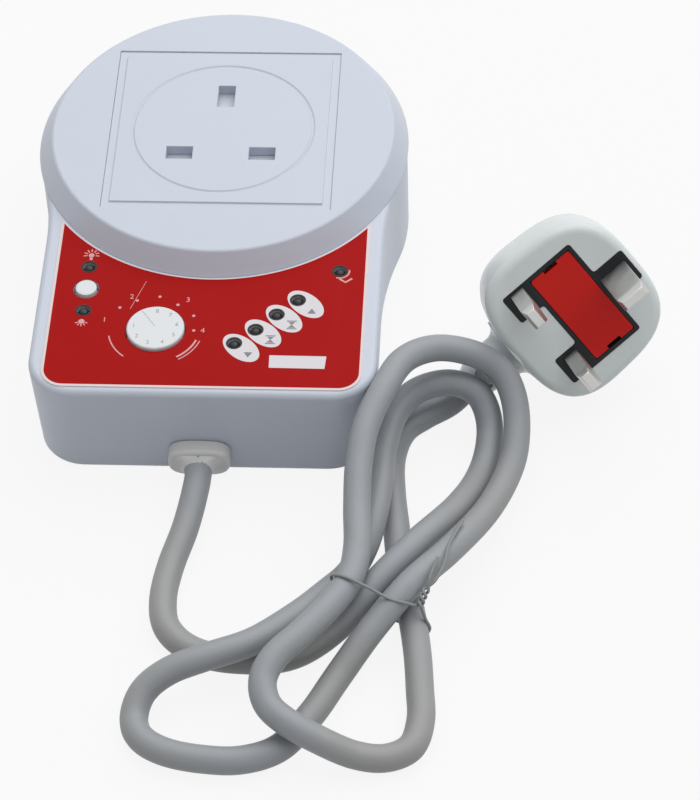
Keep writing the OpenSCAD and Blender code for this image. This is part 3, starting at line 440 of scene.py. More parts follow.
def smoothLine(points, steps):    # the same smooth line as the source's
    line = []
    for i in range(len(points) - 1):
        b, c = Vector(points[i]), Vector(points[i + 1])
        a = Vector(points[i - 1]) if i else 2 * b - c
        d = Vector(points[i + 2]) if i + 2 < len(points) else 2 * c - b
        for k in range(steps):
            t = k / steps
            line.append((2 * b + (c - a) * t + (2 * a - 5 * b + 4 * c - d) * t * t
                         + (3 * b - a - 3 * c + d) * t ** 3) / 2)
    return line + [Vector(points[-1])]


def wire(name, line, r, finish, sides):
    curve = bpy.data.curves.new(name, "CURVE")
    curve.dimensions, curve.bevel_depth, curve.bevel_resolution = "3D", r * mm, sides
    curve.use_fill_caps, curve.twist_mode = True, "MINIMUM"
    spline = curve.splines.new("POLY")
    spline.points.add(len(line) - 1)
    for point, p in zip(spline.points, line):
        point.co = (*(Vector(p) * mm), 1)
    spline.use_smooth = True
    return link(name, curve, finish)


def finished(piece, replaced=(), body="protector"):
    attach(piece, body)
    if replaced:
        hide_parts(*replaced)
    return piece


# Camera, with its place in millimetres and its angles in radians

shot = {"place": (80.3, -624.1, 648.2), "pitch": 0.8399, "yaw": -0.0757, "roll": -0.0393,
        "lens": 148.3}


def makeCamera():
    pitch, yaw, roll = shot["pitch"], shot["yaw"], shot["roll"]
    ahead = Vector((math.sin(yaw) * math.cos(pitch), math.cos(yaw) * math.cos(pitch),
                    -math.sin(pitch)))
    level = Vector((math.cos(yaw), -math.sin(yaw), 0))
    above = level.cross(ahead)
    right = math.cos(roll) * level + math.sin(roll) * above
    up = math.cos(roll) * above - math.sin(roll) * level
    turn = Matrix((right, up, -ahead)).transposed()
    camera = link("camera", bpy.data.cameras.new("camera"))
    camera.data.lens = shot["lens"]
    camera.data.clip_start, camera.data.clip_end = 0.05, 20
    camera.matrix_world = Matrix.Translation(Vector(shot["place"]) * mm) @ turn.to_4x4()
    bpy.context.scene.camera = camera


makeCamera()

# Cord and its tie

# The source's route points, in metres
cordRoute = [
    (-0.001, -0.073, 0.0075), (-0.001, -0.081, 0.0075), (-0.003, -0.093, 0.005),
    (-0.006, -0.105, 0.0035), (-0.007, -0.116, 0.0035), (-0.005, -0.125, 0.0035),
    (0.002, -0.1315, 0.0035), (0.013, -0.134, 0.0035), (0.026, -0.1325, 0.0035),
    (0.037, -0.1245, 0.005), (0.046, -0.115, 0.0105), (0.056, -0.103, 0.0125),
    (0.066, -0.087, 0.008), (0.0715, -0.073, 0.0045), (0.0735, -0.062, 0.006),
    (0.0725, -0.0555, 0.0095), (0.069, -0.052, 0.013), (0.062, -0.051, 0.0145),
    (0.054, -0.0535, 0.0135), (0.049, -0.06, 0.012), (0.0465, -0.071, 0.011),
    (0.046, -0.082, 0.0105), (0.045, -0.092, 0.01), (0.043, -0.101, 0.0085),
    (0.0395, -0.109, 0.0075), (0.034, -0.116, 0.008), (0.027, -0.125, 0.01),
    (0.017, -0.134, 0.011), (0.006, -0.139, 0.011), (-0.003, -0.142, 0.009),
    (-0.009, -0.146, 0.006), (-0.011, -0.152, 0.0035), (-0.009, -0.158, 0.0035),
    (-0.003, -0.162, 0.0035), (0.006, -0.164, 0.0035), (0.016, -0.164, 0.0035),
    (0.025, -0.16, 0.0035), (0.032, -0.15, 0.0035), (0.038, -0.139, 0.0045),
    (0.046, -0.128, 0.0095), (0.055, -0.117, 0.0135), (0.0645, -0.105, 0.0125),
    (0.0735, -0.089, 0.009), (0.079, -0.074, 0.008), (0.0805, -0.064, 0.0105),
    (0.0795, -0.0555, 0.0145), (0.076, -0.05, 0.0185), (0.069, -0.048, 0.0225),
    (0.0595, -0.0485, 0.025), (0.0515, -0.0545, 0.027), (0.0468, -0.0645, 0.0275),
    (0.0425, -0.0755, 0.025), (0.041, -0.086, 0.0215), (0.041, -0.097, 0.018),
    (0.0415, -0.108, 0.0165), (0.04, -0.118, 0.016), (0.035, -0.127, 0.016),
    (0.029, -0.135, 0.016), (0.023, -0.142, 0.0155), (0.0205, -0.148, 0.014),
    (0.022, -0.154, 0.0125), (0.027, -0.1585, 0.0115), (0.035, -0.1615, 0.0085),
    (0.043, -0.1625, 0.0045), (0.0505, -0.1625, 0.0035), (0.0565, -0.159, 0.0035),
    (0.0585, -0.151, 0.0035), (0.058, -0.142, 0.0035), (0.057, -0.131, 0.0045),
    (0.055, -0.119, 0.0055), (0.052, -0.104, 0.004), (0.0505, -0.092, 0.0035),
    (0.049, -0.08, 0.0035), (0.0485, -0.068, 0.0035), (0.051, -0.0585, 0.0035),
    (0.0565, -0.053, 0.0035), (0.063, -0.049, 0.0045), (0.068, -0.0455, 0.008),
]
cord = {"diameter": 7.0, "length": 0.815, "steps": 10, "sides": 8}
tie = {"r": 0.4, "sides": 3, "steps": 8, "twists": 1.5, "pitchR": 0.62, "rings": 30,
       "start": (57.3, -122.9, 11.9), "end": (58.9, -119.7, 14.4),
       "loop": [(54.4, -124.0, 14.5), (50.0, -123.4, 15.5), (45.0, -122.0, 17.8),
                (39.6, -120.6, 19.95), (36.6, -118.7, 18.5), (35.5, -117.2, 16.0),
                (36.1, -117.5, 13.4), (37.2, -118.4, 11.4), (37.0, -118.2, 8.0),
                (38.2, -117.4, 3.0), (43.0, -116.6, 1.0), (50.0, -118.2, 0.9),
                (55.5, -121.0, 0.9), (58.8, -123.2, 2.0), (59.9, -124.0, 4.9),
                (58.9, -123.8, 8.0)],
       "shortTail": [(59.8, -117.2, 16.6), (61.6, -112.1, 18.0)],
       "longTail": [(61.2, -117.6, 15.9), (63.3, -112.6, 17.0), (64.3, -107.2, 17.3),
                    (67.4, -98.6, 16.0)]}


def makeCord():
    line = smoothLine([[c / mm for c in p] for p in cordRoute], cord["steps"])
    return finished(wire("cord_sheath", line, cord["diameter"] / 2, "cord", cord["sides"]),
                    ["cord"])


def makeTie():    # a loop whose ends are twisted together once, then lie along the cord
    start, end = Vector(tie["start"]), Vector(tie["end"])
    way = (end - start).normalized()
    side = way.cross(Vector((0, 0, 1))).normalized()
    up = side.cross(way)

    def coil(phase):
        rings = tie["rings"]
        angles = [2 * math.pi * tie["twists"] * i / rings + phase for i in range(rings + 1)]
        return [start + (end - start) * i / rings
                + tie["pitchR"] * (math.cos(a) * side + math.sin(a) * up)
                for i, a in enumerate(angles)]

    first, last = coil(math.pi), coil(0)
    line = smoothLine([first[-1]] + tie["shortTail"], tie["steps"])[::-1] + first[::-1][1:]
    line += smoothLine(tie["loop"], tie["steps"]) + last
    line += smoothLine([last[-1]] + tie["longTail"], tie["steps"])[1:]
    return finished(wire("tie_wire", line, tie["r"], "tie", tie["sides"]),
                    ["twist_tie"])


cordPiece = makeCord()
tiePiece = makeTie()
print("cord and tie made")

# Housing

housing = {"face": 30.0, "boxW": 89.6, "front": 91.0, "towerR": 49.6, "cornerR": 12.0,
           "sweepR": 88.0, "sideLean": 1.3, "frontLean": 0.8, "wall": 2.2, "faceT": 2.5,
           "topRound": 1.8, "footRound": 1.8, "pocketW": 54.4}
lamps = {"r": 1.5, "gap": 0.1, "rise": 0.4, "h": 5.3, "lip": 0.25, "lipH": 1.0}
lampRing = {"r": 2.1, "lowGap": 0.08, "topGap": 0.2, "low": 30.28, "top": 30.36}
lampPlaces = {
    "lamp_mains": (-32.1, -47.0), "lamp_output": (-32.1, -62.7), "lamp_low": (7.8, -73.4),
    "lamp_wait_long": (13.0, -68.6), "lamp_wait_short": (18.1, -63.1),
    "lamp_high": (23.3, -57.9), "lamp_alarm": (33.7, -47.2)}
button = {"r": 2.8, "rise": 1.0, "well": 0.6, "place": (-32.1, -55.0), "stemR": 1.75,
          "stemLow": 17.0, "flangeR": 4.4, "flangeLow": 25.9, "flangeTop": 27.3,
          "crown": [(0.0, 0.45), (0.12, 0.16), (0.45, 0.03), (0.8, 0.0)]}
dial = {"r": 7.5, "rise": 1.2, "gap": 0.3, "t": 3.2, "hubR": 4.5, "hubH": 6.0, "chamfer": 0.55,
        "place": (-12.8, -69.0), "turn": 125, "lineX": 3.55, "lineLong": 6.1, "lineW": 0.36,
        "lineDeep": 0.2, "numberR": 5.6, "numberSize": 1.75, "numberLift": 0.005,
        "firstNumber": 176, "numberStep": 39}
gland = {"place": (-1, -70.5, 7.5), "w": 16.0, "h": 9.4, "neckW": 13.0, "neckH": 8.4, "power": 3.0,
         "out": 4.0, "foot": 0.2, "footW": 0.3, "wallT": 3.6, "lipT": 1.0, "round": 1.25,
         "tip": 7.3, "tipExtraW": 0.05, "draw": 2.4, "drawBend": 2.6, "gap": 0.2,
         "cutIn": 20, "cutOut": 5}
glandPlace = Matrix.Translation(gland["place"]) @ Matrix.Rotation(math.pi / 2, 4, "X")


def plan(z, inset):    # the housing's outline at a height, drawn in by an inset
    h = housing
    lean = 1 - z / h["face"]
    w = h["boxW"] / 2 - h["sideLean"] * lean - inset
    front = h["front"] - h["frontLean"] * lean - inset
    corner, tower, sweep = h["cornerR"] - inset, h["towerR"] - inset, h["sweepR"] + inset
    drop = math.sqrt((tower + sweep) ** 2 - (w + sweep) ** 2)
    turn = math.degrees(math.atan(drop / (w + sweep)))    # the tower starts a degree past it
    half = (arc(w - corner, corner - front, corner, -90, 0, 20)
            + arc(w + sweep, -drop, sweep, 180, 180 - turn, 20)
            + arc(0, 0, tower, -turn + 1, 90, 66)[:-1])
    half.append((0.0, tower))
    return [(x, y + socketY) for x, y in half + [(-x, y) for x, y in half[-2::-1]]]


def panelHoles(low, high):    # where the lamps, the button and the dial come through
    holes = [(x, y, lamps["r"] + lamps["gap"]) for x, y in lampPlaces.values()]
    holes.append((*button["place"], button["r"] + button["well"]))
    holes.append((*dial["place"], dial["r"] + dial["gap"]))
    return [lathe("hole", [(r, low), (r, high)], 64, x=x, y=y + socketY) for x, y, r in holes]


def makeHousing():
    h = housing
    rings = [(h["face"] - h["faceT"], h["wall"]), (0.0, h["wall"])]
    for i in range(7):
        a = math.pi / 12 * i
        rings.append((h["footRound"] * (1 - math.cos(a)), h["footRound"] * (1 - math.sin(a))))
    for i in range(9):
        a = math.pi / 16 * i
        rings.append((h["face"] - h["topRound"] * (1 - math.sin(a)),
                      h["topRound"] * (1 - math.cos(a))))
    outlines = [[(*p, z) for p in plan(z, inset)] for z, inset in rings]
    shell = loft("housing_shell", outlines, "shell")
    low, high = h["face"] - 4, h["face"] + 2    # the cutters go right through the face
    pocket = box("pocket", 0, socketY, low, h["pocketW"], h["pocketW"], high)
    outline = oval(gland["neckW"] + gland["gap"], gland["neckH"] + gland["gap"], gland["power"])
    outlet = prism("outlet", outline, -gland["cutIn"], gland["cutOut"], place=glandPlace)
    combine(shell, panelHoles(low, high) + [pocket, outlet])
    soften(shell, 0, smooth=35)
    finished(shell, ["upper_housing"])


def makeLamps():
    r, ring = lamps["r"], lampRing
    top = housing["face"] + lamps["rise"]
    low, lip = top - lamps["h"], r + lamps["lip"]
    profile = ([(lip, low), (lip, low + lamps["lipH"]), (r, low + lamps["lipH"])]
               + arc(0, top - r, r, 0, 88, 10))
    for name, (x, y) in lampPlaces.items():
        dome = lathe(name + "_dome", profile, 40, "lamp", x=x, y=y + socketY)
        finished(soften(dome, 0, smooth=40), [name])
    profile = [(r + ring["lowGap"], ring["low"]), (ring["r"], ring["low"]),
               (ring["r"], ring["top"]), (r + ring["topGap"], ring["top"])]
    rings = [lathe("ring", profile, 48, "dark", closed=True, x=x, y=y + socketY)
             for x, y in lampPlaces.values()]
    finished(gather("lamp_rings", rings))


def makeButton():
    b, top = button, housing["face"] + button["rise"]
    profile = [(b["stemR"], b["stemLow"]), (b["stemR"], b["flangeLow"]),
               (b["flangeR"], b["flangeLow"]), (b["flangeR"], b["flangeTop"]),
               (b["r"], b["flangeTop"])]
    profile += [(b["r"] - inward, top - down) for inward, down in b["crown"]]
    cap = lathe("button_cap", profile, 72, "white", x=b["place"][0], y=b["place"][1] + socketY)
    finished(soften(cap, 0, smooth=45), ["push_button"], "button")


def makeDial():
    d, top = dial, housing["face"] + dial["rise"]
    x, y = d["place"][0], d["place"][1] + socketY
    under = top - d["t"]
    profile = ([(d["hubR"], under - d["hubH"]), (d["hubR"], under), (d["r"], under)]
               + arc(d["r"] - d["chamfer"], top - d["chamfer"], d["chamfer"], 0, 90, 6))
    knob = lathe("dial_cap", profile, 128, "white", x=x, y=y)
    turn = Matrix.Translation((x, y, 0)) @ Matrix.Rotation(math.radians(d["turn"]), 4, "Z")
    groove = box("groove", d["lineX"], 0, top - d["lineDeep"], d["lineLong"], d["lineW"], top + 1,
                 place=turn)
    combine(knob, [groove])
    finished(soften(knob, 0, smooth=40), ["dial_knob"], "dial")
    numbers = []
    for i in range(8):
        a = math.radians(d["firstNumber"] + d["numberStep"] * i)
        numbers.append((str(i + 1), x + d["numberR"] * math.cos(a),
                        y + d["numberR"] * math.sin(a)))
    finished(digits("dial_numbers", numbers, d["numberSize"], top + d["numberLift"], "dialGrey"),
             body="dial")


def makeGland():    # a flange with a rounded front that draws in to the cord
    g, full = gland, gland["power"]
    w, h, tip = g["w"], g["h"], g["tip"]
    levels = [(w, h, -g["wallT"] - g["lipT"], full), (w, h, -g["wallT"], full),
              (g["neckW"], g["neckH"], -g["wallT"], full),
              (g["neckW"], g["neckH"], -g["foot"], full),
              (w - g["footW"], h - g["footW"], -g["foot"], full), (w, h, 0.0, full)]
    for i in range(7):
        a = math.pi / 12 * i
        inset = 2 * g["round"] * (1 - math.cos(a))
        levels.append((w - inset, h - inset, g["out"] - g["round"] * (1 - math.sin(a)), full))
    w, h = levels[-1][:2]
    for i in range(1, 9):
        t = i / 8
        near = (1 - t) ** g["drawBend"]
        levels.append((tip + g["tipExtraW"] + (w - tip) * near, tip + (h - tip) * near,
                       g["out"] + g["draw"] * t, 2 + (full - 2) * near))
    rings = [[(*p, z) for p in oval(a, b, power)] for a, b, z, power in levels]
    piece = loft("gland_flange", rings, "gland", glandPlace)
    finished(soften(piece, 0, smooth=50), ["cable_gland"])


makeHousing()
makeLamps()
makeButton()
makeDial()
makeGland()
print("housing, lamps, button, dial and gland made")

# Front label

label = {"halfW": 41.0, "reach": 89.0, "cornerR": 6.0, "discR": 50.6, "low": 30.0, "top": 30.3,
         "border": 0.75, "borderDown": 0.04, "foilUp": 0.02, "discShare": 0.4, "ink": 0.03}
ovals = {"w": 11.8, "h": 6.9, "turn": -45, "hole": 1.7,
         "places": [(9.7, -75.0), (15.0, -69.8), (20.1, -64.5), (25.4, -59.3)],
         "lamps": ["lamp_low", "lamp_wait_long", "lamp_wait_short", "lamp_high"]}
marks = {"low": (11.6, -77.4), "high": (27.1, -61.7), "waits": [(17.0, -72.0), (22.2, -66.7)],
         "mains": (-31.9, -42.3), "output": (-32.2, -66.8), "alarm": (33.7, -47.2),
         "dotR": 0.42, "dots": [(-22.7, -61.5), (-12.6, -57.4), (-3.3, -64.0), (-18.4, -58.9),
                                (-7.7, -60.2), (-2.9, -69.2)],
         "arcs": [(12.1, 192, 232, 0.34), (11.3, 303, 342, 0.5), (12.3, 303, 342, 0.3)],
         "pointer": [(-16.6, -51.9), (-20.0, -61.9)], "pointerW": 0.13,
         "numberSize": 2.3, "numberLift": 0.01,
         "numbers": [("1", -26.3, -65.9), ("2", -19.9, -57.6), ("3", -5.2, -58.4),
                     ("4", -0.6, -69.2)],
         "plate": [(17.1, -77.4), (31.7, -77.5), (31.4, -81.8), (17.2, -81.7)]}


def labelOutline(inset):
    w, reach = label["halfW"] - inset, label["reach"] - inset
    r, disc = label["cornerR"] - inset, label["discR"] + inset * label["discShare"]
    turn = math.degrees(math.acos(w / disc))
    line = (arc(w - r, r - reach, r, -90, 0, 12) + arc(0, 0, disc, -turn, turn - 180, 72)
            + arc(r - w, r - reach, r, 180, 270, 12))
    return [(x, y + socketY) for x, y in line]


def stroke(line, width):    # the outline of a line that has a width
    left, right = [], []
    for i, p in enumerate(line):
        a, b = line[max(0, i - 1)], line[min(len(line) - 1, i + 1)]
        dx, dy = b[0] - a[0], b[1] - a[1]
        long = math.hypot(dx, dy)
        nx, ny = -dy / long * width / 2, dx / long * width / 2
        left.append((p[0] + nx, p[1] + ny))
        right.append((p[0] - nx, p[1] - ny))
    return right + left[::-1]


def printed(name, outlines, low, finish):    # flat marks, placed from the socket's centre
    parts = [prism("mark", [(x, y + socketY) for x, y in line], low, low + label["ink"], finish)
             for line in outlines]
    return gather(name, parts)


def turnedOval(x, y):
    a = math.radians(ovals["turn"])
    return [(x + u * math.cos(a) - v * math.sin(a), y + u * math.sin(a) + v * math.cos(a))
            for u, v in oval(ovals["w"], ovals["h"], 2, 64)]


def dot(x, y, r):
    return [p[:2] for p in circle(r, 0, 20, x, y)]


def rays(x, y, low, high, first, last, count, width):    # short strokes round a point
    turns = [math.radians(first + (last - first) * i / (count - 1)) for i in range(count)]
    return [stroke([(x + low * math.cos(t), y + low * math.sin(t)),
                    (x + high * math.cos(t), y + high * math.sin(t))], width) for t in turns]


def litBulb(x, y):
    cap = [(x - 0.4, y - 2.2), (x + 0.4, y - 2.2), (x + 0.35, y - 1.1), (x - 0.35, y - 1.1)]
    return rays(x, y - 0.4, 1.1, 2.1, -10, 190, 7, 0.34) + [dot(x, y - 0.5, 0.75), cap]


def lampBelow(x, y):
    return rays(x, y + 0.2, 0.9, 1.7, -160, -20, 5, 0.3) + [dot(x, y + 0.2, 0.8)]


def alarmTick(x, y):
    return [stroke(arc(x, y, 2.5, -110, 10, 12), 0.4),
            stroke([(x, y - 2.8), (x + 1.6, y - 4.0), (x + 3.3, y - 2.6)], 0.55)]


def triangle(x, y, way):    # it points up at a way of 1 and down at -1
    return [(x - 1.1 * way, y - 0.9 * way), (x + 1.1 * way, y - 0.9 * way), (x, y + 0.9 * way)]


def hourglass(x, y):
    return [[(x - 1.3, y + 1.5), (x + 1.3, y + 1.5), (x + 1.3, y + 1.2), (x - 1.3, y + 1.2)],
            [(x - 1.3, y - 1.2), (x + 1.3, y - 1.2), (x + 1.3, y - 1.5), (x - 1.3, y - 1.5)],
            [(x - 0.9, y + 1.0), (x, y - 0.05), (x + 0.9, y + 1.0)],
            [(x - 1.0, y - 1.0), (x + 1.0, y - 1.0), (x, y + 0.05)]]


def makeLabel():
    low, top, m = label["low"], label["top"], marks
    border = prism("label_border", labelOutline(0), low, top - label["borderDown"], "ink")
    foil = prism("label_foil", labelOutline(label["border"]), low + label["foilUp"], top,
                 "label")
    for piece in (border, foil):
        combine(piece, panelHoles(low - 1, top + 1))
        piece.data.shade_flat()
    finished(border)
    finished(foil, ["front_label"])

    patches = printed("label_patches", [turnedOval(*p) for p in ovals["places"]] + [m["plate"]],
                      top, "pale")
    profile = [(ovals["hole"], top - 1), (ovals["hole"], top + 1)]
    combine(patches, [lathe("hole", profile, 40, x=x, y=y + socketY)
                      for x, y in (lampPlaces[name] for name in ovals["lamps"])])
    finished(patches)

    pink = [dot(*p, m["dotR"]) for p in m["dots"]]
    pink += litBulb(*m["mains"]) + lampBelow(*m["output"]) + alarmTick(*m["alarm"])
    pink += [stroke(arc(*dial["place"], r, start, end, 14), width)
             for r, start, end, width in m["arcs"]]
    pink.append(stroke(m["pointer"], m["pointerW"]))
    finished(printed("label_marks", pink, top, "inkPink"))
    finished(digits("label_numbers", [(text, x, y + socketY) for text, x, y in m["numbers"]],
                    m["numberSize"], top + m["numberLift"], "inkPink"))

    grey = [triangle(*m["low"], -1), triangle(*m["high"], 1)]
    for place in m["waits"]:
        grey += hourglass(*place)
    finished(printed("oval_marks", grey, top + label["ink"], "markGrey"))


makeLabel()
print("label made")

# Round cover and socket plate

cover = {"h": 6.2, "r": 50.0, "topR": 46.1, "edge": 1.1, "foot": 0.15, "t": 2.2, "coreR": 1.0,
         "soft": 0.1}
plate = {"w": 61.0, "gap": 0.04, "top": 36.3, "low": 33.2, "channelW": 2.2, "channelDeep": 0.5,
         "soft": 0.294, "circleR": 24.4, "lineW": 1.1, "lineDeep": 0.42, "pitch": 22.23,
         "earthY": 12.6, "slot": (7.1, 4.7), "earthSlot": (4.6, 8.3)}


def makeCover():
    c, low = cover, housing["face"]
    top = low + c["h"]
    slope = math.degrees(math.atan2(c["h"], c["r"] - c["topR"]))
    profile = [(c["coreR"], top - c["t"]), (c["topR"] - c["t"], top - c["t"]),
               (c["r"] - c["t"], low), (c["r"] - c["foot"], low), (c["r"], low + c["foot"])]
    profile += arc(c["topR"] - c["edge"] * math.tan(math.radians(slope / 2)), top - c["edge"],
                   c["edge"], 90 - slope, 90, 8) + [(c["coreR"], top)]
    piece = lathe("cover_disc", profile, 192, "shell", closed=True, y=socketY)
    w = plate["w"] + 2 * plate["gap"]
    combine(piece, [box("opening", 0, socketY, low - 1, w, w, top + 1)])
    soften(piece, c["soft"], 2, 50, 24)
    finished(piece, ["disc_cover"])


def slotCuts(low, high):
    p = plate
    cuts = [box("slot", s * p["pitch"] / 2, p["earthY"] - p["pitch"] + socketY, low, *p["slot"],
                high) for s in (-1, 1)]
    return cuts + [box("slot", 0, p["earthY"] + socketY, low, *p["earthSlot"], high)]


def makePlate():
    p = plate
    inner = p["w"] - 2 * p["channelW"]
    base = box("socket_panel", 0, socketY, p["low"], p["w"], p["w"], p["top"] - p["channelDeep"],
               "shell")
    panel = box("raised", 0, socketY, p["low"] + 1, inner, inner, p["top"], "shell")
    outer, close = p["circleR"] + p["lineW"] / 2, p["circleR"] - p["lineW"] / 2
    floor = p["top"] - p["lineDeep"]
    ring = lathe("ring", [(p["circleR"], floor), (outer, p["top"] + 0.01), (outer, p["top"] + 1),
                          (close, p["top"] + 1), (close, p["top"] + 0.01)], 160, closed=True,
                 y=socketY)
    combine(panel, [ring])
    combine(base, [panel], "UNION")
    combine(base, slotCuts(p["low"] - 1, p["top"] + 1))
    soften(base, p["soft"], 3, 60)
    finished(base, ["socket_plate"])


ramps = {"low": 31.7, "high": 33.16, "slope": 0.25, "supplyY": -9.6, "supply": (8.6, 5.9),
         "earth": (5.4, 9.4), "soft": 0.15}


def makeRamps():    # wedges on the shutter that the pins push on
    low, high, half = ramps["low"], ramps["high"], plate["pitch"] / 2
    places = [(s * half, ramps["supplyY"] + socketY, *ramps["supply"]) for s in (-1, 1)]
    places.append((0, plate["earthY"] + socketY, *ramps["earth"]))
    parts = []
    for x, y, w, d in places:
        outline = [(y - d / 2, low), (y + d / 2, low), (y + d / 2, high),
                   (y - d / 2, high - ramps["slope"])]
        rings = [[(side, u, v) for u, v in outline] for side in (x - w / 2, x + w / 2)]
        parts.append(loft("ramp", rings, "shutter"))
    piece = soften(gather("shutter_ramps", parts), ramps["soft"], 2, 40)
    finished(piece, body="shutter")


spring = {"r": 1.1, "wireR": 0.2, "sides": 3, "turns": 6, "steps": 16, "start": -2.9,
          "end": 6.0, "z": 31.5, "keep": 0.345}


def makeSpring():    # a coil of steel wire for the shutter's spring
    s, count = spring, spring["turns"] * spring["steps"]
    line = []
    for i in range(count + 1):
        a = 2 * math.pi * i / s["steps"]
        y = s["start"] + (s["end"] - s["start"]) * i / count + socketY
        line.append((s["r"] * math.cos(a), y, s["z"] + s["r"] * math.sin(a)))
    coil = wire("coil", line, s["wireR"], "steel", s["sides"])
    mesh = meshOf(coil)
    bpy.data.objects.remove(coil)
    piece = finished(link("spring_coil", mesh), ["shutter_spring"])
    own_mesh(piece)


makeCover()
makePlate()
makeRamps()
makeSpring()
print("socket made")

# Plug, in its own frame: x from supply pin to supply pin, y to the earth pin, z out of its face

plugPose = {"at": (68, -45.5, 8), "turns": [(12, "Z"), (59, "X"), (-56, "Z")],
            "shift": (0, 33.3, 10)}
plugPlace = Matrix.Translation(plugPose["at"])
for degrees, axis in plugPose["turns"]:
    plugPlace = plugPlace @ Matrix.Rotation(math.radians(degrees), 4, axis)
plugPlace = plugPlace @ Matrix.Translation(plugPose["shift"])
plug = {"w": 43.0, "h": 40.0, "t": 22.0, "midY": 0.7, "power": 3.0, "taper": 0.06, "edge": 2.4,
        "backs": [(1.0, 0.3), (0.99, 0.5), (0.965, 0.68), (0.92, 0.82), (0.85, 0.92), (0.74, 0.98),
                  (0.6, 1.0)], "steps": 112, "neckR": 6.3, "neckOut": 3.0, "neckDeep": 10.0,
        "supplyY": -8.0, "earthY": 14.23, "pitch": 22.23}
insert = {"rim": 1.25, "deep": 10.5, "rise": 0.2, "y": 2.65, "padIn": 4.4, "padFront": 4.2,
          "earthPadW": 9.4, "earthPadBack": 5.1, "cornerR": 0.9, "wellGap": 0.05, "bayGap": 0.1,
          "rootGap": 0.05, "soft": 0.22}
carrier = {"w": 27.5, "h": 12.6, "t": 1.8, "notchW": 4.2, "notchDeep": 0.9, "cornerR": 0.7,
           "legW": 9.0, "legT": 1.6, "legH": 3.0, "legY": 4.2, "soft": 0.35}
pins = {"w": 6.35, "t": 3.97, "earthH": 7.92, "out": 17.7, "earthOut": 22.7, "root": 6.0,
        "chamfer": 1.6, "nose": [(0.0, 2.0), (0.18, 1.0), (0.5, 0.075), (0.62, 0.0)],
        "soft": 0.25}
relief = {"baseR": 6.3, "tipR": 4.5, "length": 11.0, "collar": 3.0, "groove": 0.7, "boreR": 3.6,
          "tipEdge": 0.4, "holeR": 0.9, "holeDeep": 2.6, "holeBack": 7.2, "holeTurn": 26,
          "soft": 0.15}


def plugOutline(scale, inset):
    p = plug
    w, h = p["w"] * scale - 2 * inset, p["h"] * scale - 2 * inset
    return [(x * (1 - p["taper"] * y * 2 / h), y + p["midY"])
            for x, y in oval(w, h, p["power"], p["steps"])]


def exitPlace(past):    # on the line of the cord's exit, that far past the plug's neck
    front = plug["h"] / 2 - plug["midY"] + plug["neckOut"]
    return (plugPlace @ Matrix.Translation((0, -front - past, -plug["neckDeep"]))
            @ Matrix.Rotation(-math.pi / 2, 4, "X"))


def rounded(line, r, steps=5):    # an outline with each corner as a small curve
    turned = []
    for i, corner in enumerate(line):
        c = Vector(corner)
        a, b = Vector(line[i - 1]) - c, Vector(line[(i + 1) % len(line)]) - c
        reach = min(r, a.length * 0.45, b.length * 0.45)
        a, b = c + a.normalized() * reach, c + b.normalized() * reach
        for k in range(steps + 1):
            t = k / steps
            turned.append(tuple(a * (1 - t) ** 2 + c * 2 * t * (1 - t) + b * t ** 2))
    return turned


def insertOutline(grow):
    n, half = insert, carrier["w"] / 2 + insert["rim"] + grow
    reach = carrier["h"] / 2 + n["rim"] + grow
    front, rear = n["y"] - reach, n["y"] + reach
    low = plug["supplyY"] - n["padFront"] - grow
    near = plug["pitch"] / 2 - n["padIn"] - grow
    back, side = plug["earthY"] + n["earthPadBack"] + grow, n["earthPadW"] / 2 + grow
    right = [(near, front), (near, low), (half, low), (half, rear), (side, rear), (side, back)]
    return rounded(right + [(-x, y) for x, y in right[::-1]], n["cornerR"])


def makePlugBody():
    p, e = plug, plug["edge"]
    rings = [(share, 0.0, -p["t"] * deep) for share, deep in p["backs"][::-1]]
    for i in range(9):
        a = math.pi / 16 * i
        rings.append((1.0, e * (1 - math.cos(a)), -e * (1 - math.sin(a))))
    outlines = [[(*q, z) for q in plugOutline(share, inset)] for share, inset, z in rings]
    body = loft("plug_shell", outlines, "plug", plugPlace)
    r, out = p["neckR"], p["neckOut"]
    profile = arc(r + out, 0, out, 180, 90, 10) + [(r + out, 2 * out)]
    combine(body, [lathe("neck", profile, 96, "plug", exitPlace(0))], "UNION")
    combine(body, [prism("well", insertOutline(insert["wellGap"]), -insert["deep"], 2,
                         place=plugPlace)])
    soften(body, 0, smooth=38)
    finished(body, ["plug_body"])


def makeInsert():
    n = insert
    piece = prism("insert_block", insertOutline(0), -n["deep"], n["rise"], "dark", plugPlace)
    bayW, bayH = carrier["w"] + 2 * n["bayGap"], carrier["h"] + 2 * n["bayGap"]
    cuts = [box("bay", 0, n["y"], n["rim"] - n["deep"], bayW, bayH, 2, place=plugPlace)]
    for x, y, w, h in ((plug["pitch"] / -2, plug["supplyY"], pins["w"], pins["t"]),
                       (plug["pitch"] / 2, plug["supplyY"], pins["w"], pins["t"]),
                       (0, plug["earthY"], pins["t"], pins["earthH"])):
        cuts.append(box("root", x, y, -pins["root"], w + n["rootGap"], h + n["rootGap"], 2,
                        place=plugPlace))
    combine(piece, cuts)
    soften(piece, n["soft"], 2, 50)
    finished(piece, ["plug_insert"])


